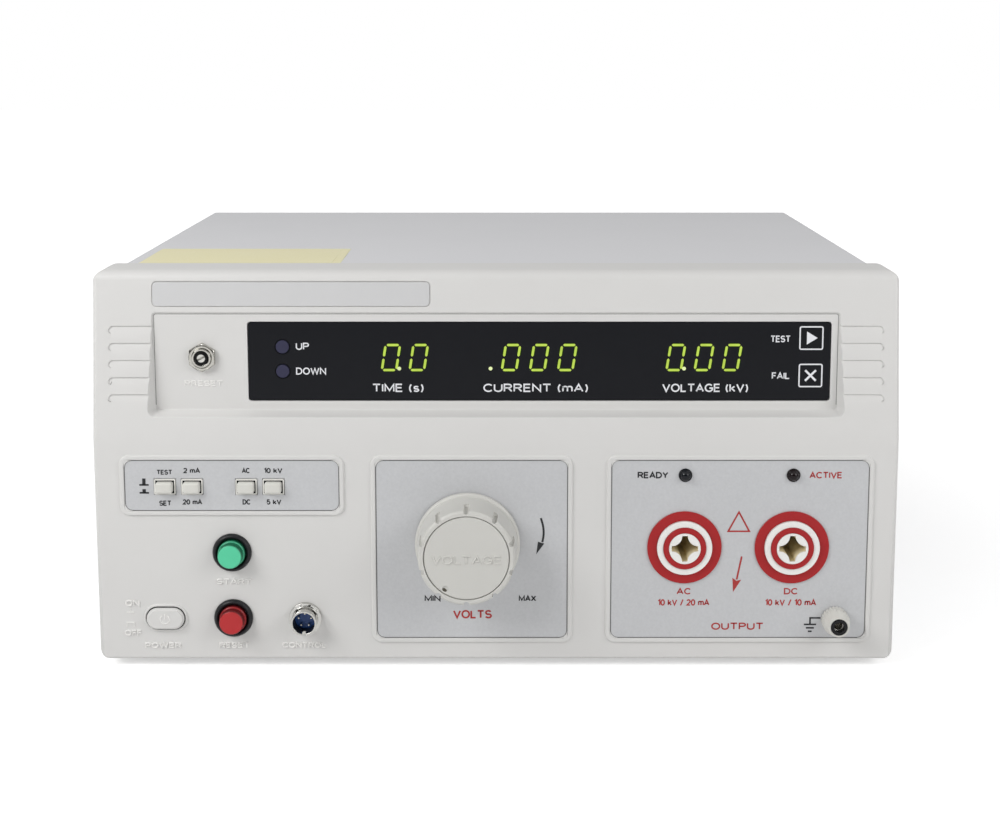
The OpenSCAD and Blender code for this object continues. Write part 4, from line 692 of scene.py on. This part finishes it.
def pillow(node, edge, play, material):
    """A push button in a CAD node's box, less the play all round, with its front edges rounded to a radius.
    All sizes are in millimetres."""
    low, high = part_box(node)
    x, z = centre_of(low, high)
    a, b = (high.x - low.x) * 500 - play, (high.z - low.z) * 500 - play
    front, back, crown = (face_y - low.y) * 1000, (face_y - high.y) * 1000, 0.12
    rows = [(0.0, back), (0.0, front - crown - edge)]
    for k in range(1, 7):
        t = math.radians(15 * k)
        rows.append((edge * (1 - math.cos(t)), front - crown - edge * (1 - math.sin(t))))
    rows.append((edge + 0.6 * (b - edge), front))
    work = bmesh.new()
    rings = [[work.verts.new(spot(u, v, out)) for u, v in
              corner_box(x, z, a - inset, b - inset, max(0.08, edge - inset))[:-1]] for inset, out in rows]
    for this, after in zip(rings, rings[1:]):
        for i in range(len(this)):
            work.faces.new([this[i - 1], this[i], after[i], after[i - 1]])
    work.faces.new(rings[-1])
    for face in work.faces:
        face.smooth = True
    bmesh.ops.recalc_face_normals(work, faces=work.faces)
    piece = piece_of(f"{node}_piece", work, material, body_of[node])
    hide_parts(node)
    return x, z, a, b


def gap_ring(work, x, z, a, b, r, gap, hole_r, out):
    """A flat ring of painted shade between a button's outline and the hole round it, in millimetres of the
    front.
    """
    inner = [work.verts.new(spot(u, v, out)) for u, v in corner_box(x, z, a - 0.2, b - 0.2, r)[:-1]]
    outer = [work.verts.new(spot(u, v, out)) for u, v in corner_box(x, z, a + gap, b + gap, hole_r)[:-1]]
    for i in range(len(inner)):
        work.faces.new([inner[i - 1], inner[i], outer[i], outer[i - 1]])


# Painted shade: a black ring that stands in for the unlit inside of a switch, seen as a line between its
# frame and its button.
pocket_shade_black = moulded("painted_switch_pocket_shade", "#151516", "#1c1c1d", 0.8, 1.0, 0.01, Specular_IOR_Level=0.1)
work = bmesh.new()
for i in range(1, 5):
    x, z, a, b = pillow(f"latch_button_{i}", 1.0, 0.2, ivory_abs)
    gap_ring(work, x, z, a, b, 0.9, 0.52, 0.2, label_out + 0.35)
piece_of("latch_pocket_shade", work, pocket_shade_black)

# Start and reset buttons
# Translucent caps, green and red, in black polyester rings that a nut holds behind the face.


def cap_with_painted_light(name, face, side):
    """Translucent plastic with painted light: its full colour where the front gathers the light, and a
    painted deeper shade down its sides.
    """
    material, tree, place = blank(name)
    facing = add(tree, "ShaderNodeNewGeometry", {}, {})
    toward = add(tree, "ShaderNodeSeparateXYZ", {}, {"Vector": facing.outputs["Normal"]})
    # Painted light: the colour follows how far each face turns towards the front.
    front = add(tree, "ShaderNodeMapRange", {},
                {"Value": toward.outputs["Y"], "From Min": -0.45, "From Max": -0.95})
    cloud = add(tree, "ShaderNodeTexNoise", {}, {"Vector": place, "Scale": 1000 / 5})
    share = add(tree, "ShaderNodeMath", {"operation": "MULTIPLY_ADD"},
                {0: cloud.outputs["Fac"], 1: -0.12, 2: front.outputs["Result"]})
    tone = add(tree, "ShaderNodeMix", {"data_type": "RGBA"},
               {0: share.outputs["Value"], 6: linear(side), 7: linear(face)})
    gloss = add(tree, "ShaderNodeMapRange", {},
                {"Value": cloud.outputs["Fac"], "To Min": 0.25, "To Max": 0.4})
    shader = add(tree, "ShaderNodeBsdfPrincipled", {},
                 {"Base Color": tone.outputs[2], "Roughness": gloss.outputs["Result"],
                  "Specular IOR Level": 0.3})
    add(tree, "ShaderNodeOutputMaterial", {}, {"Surface": shader.outputs["BSDF"]})
    return material


green_cap = cap_with_painted_light("translucent_green_cap", "#5bd2a4", "#1f6a4c")
red_cap = cap_with_painted_light("translucent_red_cap", "#bb2f32", "#64171a")
for node in ("start_switch", "reset_switch"):
    soften(node, 0.4, black_polyester)
soften("start_cap", 0.25, green_cap)
soften("reset_cap", 0.25, red_cap)

# Power button
# One ABS button in the bezel's own colour, sliding in the raised rim.
soften("power_button", 0.3, bezel_abs)
low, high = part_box("power_button")
x, z = centre_of(low, high)
front = (face_y - low.y) * 1000
work = bmesh.new()
for line in (bow(x, z, 2.1, 2.1, 125, 415, 20), [(x, z + 0.2), (x, z + 2.7)]):
    ribbon(work, line, 0.3, front, 0.25)
piece_of("power_mark", work, abs_painted_lighter, body_of["power_button"])
# Painted shade in the gap round the power button, as round the latching buttons.
work = bmesh.new()
a, b = (high.x - low.x) * 500, (high.z - low.z) * 500
gap_ring(work, x, z, a, b, b - 0.25, 0.5, b + 0.45, 0.75)
piece_of("power_pocket", work, pocket_shade_black)

# Control socket
# A chromed round connector: barrel with a key slot, blue insert and nickel-plated pins.
# Chrome: a near mirror that shows the white room and the dark side, with a slight haze from wiping.
chrome, tree, place = blank("chrome_plate")
wipe = add(tree, "ShaderNodeTexNoise", {}, {"Vector": place, "Scale": 1000 / 2.5, "Detail": 3.0})
gloss = add(tree, "ShaderNodeMapRange", {}, {"Value": wipe.outputs["Fac"], "To Min": 0.03, "To Max": 0.1})
shader = add(tree, "ShaderNodeBsdfPrincipled", {},
             {"Base Color": linear("#c8c7c3"), "Metallic": 1.0, "Roughness": gloss.outputs["Result"]})
add(tree, "ShaderNodeOutputMaterial", {}, {"Surface": shader.outputs["BSDF"]})
blue_nylon = moulded("blue_nylon", "#2a5aa6", "#244f96", 0.35, 1.0, 0.01)
soften("control_shell", 0.25, chrome)
soften("control_insert", 0.2, blue_nylon)
# Painted shade: a black sleeve that lines the barrel from the insert to its mouth, open at the key slot, and
# stands in for the shade inside the barrel.
low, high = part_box("control_shell")
x, z = centre_of(low, high)
front = (face_y - low.y) * 1000
work = bmesh.new()
lining_r = 5.02
rows = [[work.verts.new(spot(x + lining_r * math.cos(a), z + lining_r * math.sin(a), out))
         for a in (math.radians(7.5 * i) for i in range(48))]
        for out in (front - 6.9, front - 4.0, front - 0.7)]
for k, (this, after) in enumerate(zip(rows, rows[1:])):
    for i in range(48):
        if k == 0 or not 35 <= i <= 37:
            work.faces.new([this[i - 1], after[i - 1], after[i], this[i]])
for face in work.faces:
    face.smooth = True
piece_of("control_barrel_shade", work, black_polyester)
soften("control_pins", 0.2, nickel_plate)

# Voltage knob
# A two-piece knob of satin ABS: notched body on the regulator's shaft, and a flat cap pressed into its front.
knob_abs = moulded("satin_knob_abs", "#cfcec9", "#cac9c4", 0.42, 0.9, 0.01)
soften("regulator_knob", 0.15, knob_abs)
cap = soften("knob_cap", 0.25, knob_abs)
low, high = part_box("knob_cap")
# The solid's front is the top of the raised word, so the cap's own face lies that much further back.
word_rise = 0.4
for v in cap.data.vertices:
    if v.co.y < low.y + 0.0003:
        v.co.y += word_rise / 1000
cap_out = (face_y - low.y) * 1000 - word_rise
x, z = centre_of(low, high)
lettering("knob_word", [("VOLTAGE", x - 16.0, x + 16.0, z - 3.0, z + 1.4)], cap_out, knob_abs,
          weight=0.2, rise=word_rise, body=body_of["knob_cap"])
# Dark paint in the index dimple, with a ragged inner edge where it shrank.
index_paint = moulded("dark_index_paint", "#3d392e", "#565143", 0.45, 1.0, 0.03)
work = bmesh.new()
turn = math.radians(236)
out_way, along_way = Vector((math.cos(turn), math.sin(turn))), Vector((-math.sin(turn), math.cos(turn)))
rim = [Vector((x, z)) + out_way * (18.0 + 0.7 * math.sin(a) + 0.08 * math.sin(4 * a))
       + along_way * 1.15 * math.cos(a) for a in (i * math.tau / 28 for i in range(28))]
work.faces.new([work.verts.new(spot(u, v, cap_out - 0.1)) for u, v in rim])
piece_of("index_paint", work, index_paint, body_of["knob_cap"])

# Output sockets
# High-voltage sockets: red polyester rings, white insulators and a four-point hole lined with brass.
red_polyester = moulded("red_polyester", "#a92528", "#a12124", 0.36, 2.0, 0.01, Specular_IOR_Level=0.25)
white_polyester = moulded("white_polyester", "#f0efec", "#e9e8e4", 0.3, 2.0, 0.01)
# Satin brass: a dull drawn sleeve, painted paler than brass is as painted light, which stands in for the
# light that falls into the hole.
brass_painted_pale, tree, place = blank("brass_painted_pale")
haze = add(tree, "ShaderNodeTexNoise", {}, {"Vector": place, "Scale": 1000 / 1.2, "Detail": 3.0})
tone = add(tree, "ShaderNodeMix", {"data_type": "RGBA"},
           {0: haze.outputs["Fac"], 6: linear("#eadbb2"), 7: linear("#f6edd2")})
gloss = add(tree, "ShaderNodeMapRange", {}, {"Value": haze.outputs["Fac"], "To Min": 0.45, "To Max": 0.6})
shader = add(tree, "ShaderNodeBsdfPrincipled", {},
             {"Base Color": tone.outputs[2], "Metallic": 0.2, "Roughness": gloss.outputs["Result"]})
add(tree, "ShaderNodeOutputMaterial", {}, {"Surface": shader.outputs["BSDF"]})
for side in ("ac", "dc"):
    soften(f"{side}_rings", 0.25, red_polyester)
    soften(f"{side}_insulators", 0.2, white_polyester)
    coat(f"{side}_contact", brass_painted_pale)

# Lamps
# Unlit indicator lamps: small glossy domes, one smoke blue and one maroon.
smoke_lens = moulded("smoke_blue_lens", "#0c1118", "#090c12", 0.06, 3.0, 0.001, Specular_IOR_Level=0.3)
maroon_lens = moulded("maroon_lens", "#14070a", "#100507", 0.06, 3.0, 0.001, Specular_IOR_Level=0.3)
soften("safety_lamp", 0.15, smoke_lens)
soften("danger_lamp", 0.15, maroon_lens)

# Earth post
# A brass stud with a ribbed ivory nut and a glossy black end that a 4 mm plug goes into.
soften("earth_nut", 0.06, ivory_abs)
cap_black = moulded("glossy_black_cap", "#08080a", "#0d0d0f", 0.2, 1.0, 0.005, Specular_IOR_Level=0.3)
soften("earth_cap", 0.3, cap_black)
soften("earth_stud", 0.2, nickel_plate)

# Floor, light and camera
# A plain white floor that keeps the soft shadow, two soft lamps in front, a pale room and the camera.
# Matt white floor: for the camera it rises to full white away from the object, and metal mirrors it dimmer.
floor_white, tree, place = blank("matt_white_floor")
path = add(tree, "ShaderNodeLightPath", {}, {})
mirrored = add(tree, "ShaderNodeMath", {"operation": "MAXIMUM"},
               {0: path.outputs["Is Glossy Ray"], 1: path.outputs["Is Transmission Ray"]})
seen = add(tree, "ShaderNodeMath", {"operation": "MULTIPLY_ADD"},
           {0: mirrored.outputs["Value"], 1: 0.35, 2: path.outputs["Is Camera Ray"]})
away = add(tree, "ShaderNodeVectorMath", {"operation": "LENGTH"}, {0: place})
far = add(tree, "ShaderNodeMapRange", {},
          {"Value": away.outputs["Value"], "From Min": 0.2, "From Max": 0.7, "To Min": 0.45, "To Max": 1.0})
lift = add(tree, "ShaderNodeMath", {"operation": "MULTIPLY"},
           {0: seen.outputs["Value"], 1: far.outputs["Result"]})
speck = add(tree, "ShaderNodeTexNoise", {}, {"Vector": place, "Scale": 1000 / 25})
tone = add(tree, "ShaderNodeMix", {"data_type": "RGBA"},
           {0: speck.outputs["Fac"], 6: linear("#f1f1f1"), 7: linear("#f4f4f4")})
shader = add(tree, "ShaderNodeBsdfPrincipled", {},
             {"Base Color": tone.outputs[2], "Roughness": 0.9, "Emission Color": (1.0, 1.0, 1.0, 1.0),
              "Emission Strength": lift.outputs["Value"], "Specular IOR Level": 0.0})
add(tree, "ShaderNodeOutputMaterial", {}, {"Surface": shader.outputs["BSDF"]})
work = bmesh.new()
bmesh.ops.create_grid(work, x_segments=4, y_segments=4, size=6.0)
mesh = bpy.data.meshes.new("floor")
work.to_mesh(mesh)
work.free()
mesh.materials.append(floor_white)
floor = bpy.data.objects.new("floor", mesh)
floor.location.z = cad_low.z - 0.0002
bpy.context.scene.collection.objects.link(floor)
floor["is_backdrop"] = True

world = bpy.data.worlds.new("studio")
bpy.context.scene.world = world
world.use_nodes = True
tree = world.node_tree
tree.nodes.clear()
# The room is white behind the object and overhead, and dark on the photographer's side, so metal shows both.
path = add(tree, "ShaderNodeLightPath", {}, {})
around = add(tree, "ShaderNodeTexCoord", {}, {})
along = add(tree, "ShaderNodeSeparateXYZ", {}, {"Vector": around.outputs["Generated"]})
behind = add(tree, "ShaderNodeMapRange", {}, {"Value": along.outputs["Y"], "From Min": 0.1, "From Max": 0.6})
above = add(tree, "ShaderNodeMapRange", {},
            {"Value": along.outputs["Z"], "From Min": 0.3, "From Max": 0.8, "To Min": 0.05, "To Max": 1.0})
mirrored = add(tree, "ShaderNodeMath", {"operation": "MAXIMUM"},
               {0: behind.outputs["Result"], 1: above.outputs["Result"]})
shown = add(tree, "ShaderNodeMath", {"operation": "MAXIMUM"},
            {0: path.outputs["Is Glossy Ray"], 1: path.outputs["Is Transmission Ray"]})
level = add(tree, "ShaderNodeMix", {"data_type": "FLOAT"},
            {0: shown.outputs["Value"], 2: 0.3, 3: mirrored.outputs["Value"]})
level = add(tree, "ShaderNodeMath", {"operation": "MAXIMUM"},
            {0: level.outputs[0], 1: path.outputs["Is Camera Ray"]})
shader = add(tree, "ShaderNodeBackground", {},
             {"Color": (1.0, 1.0, 1.0, 1.0), "Strength": level.outputs["Value"]})
add(tree, "ShaderNodeOutputWorld", {}, {"Surface": shader.outputs["Background"]})

for name, at, aim, size, watts in (("key", (-0.66, -0.62, 0.66), (-0.05, -0.13, 0.1), 0.5, 5.6),
                                   ("fill", (0.66, -0.6, 0.46), (0.05, -0.13, 0.1), 0.5, 2.8)):
    light = bpy.data.lights.new(name, "AREA")
    light.size = size
    light.energy = watts
    lamp = bpy.data.objects.new(name, light)
    lamp.location = at
    lamp.rotation_euler = (Vector(aim) - Vector(at)).to_track_quat("-Z", "Y").to_euler()
    bpy.context.scene.collection.objects.link(lamp)

view = bpy.data.cameras.new("front_view")
view.sensor_width = 36.0
view.lens = 55.93
view.shift_x = -0.0085
view.shift_y = -0.165
camera = bpy.data.objects.new("front_view", view)
camera.location = (0.0058, -0.8404, 0.2932)
camera.rotation_euler = (math.radians(90 - 7.69), 0.0, 0.0)
bpy.context.scene.collection.objects.link(camera)
bpy.context.scene.camera = camera
bpy.context.scene.view_settings.view_transform = "Standard"

low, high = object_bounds()
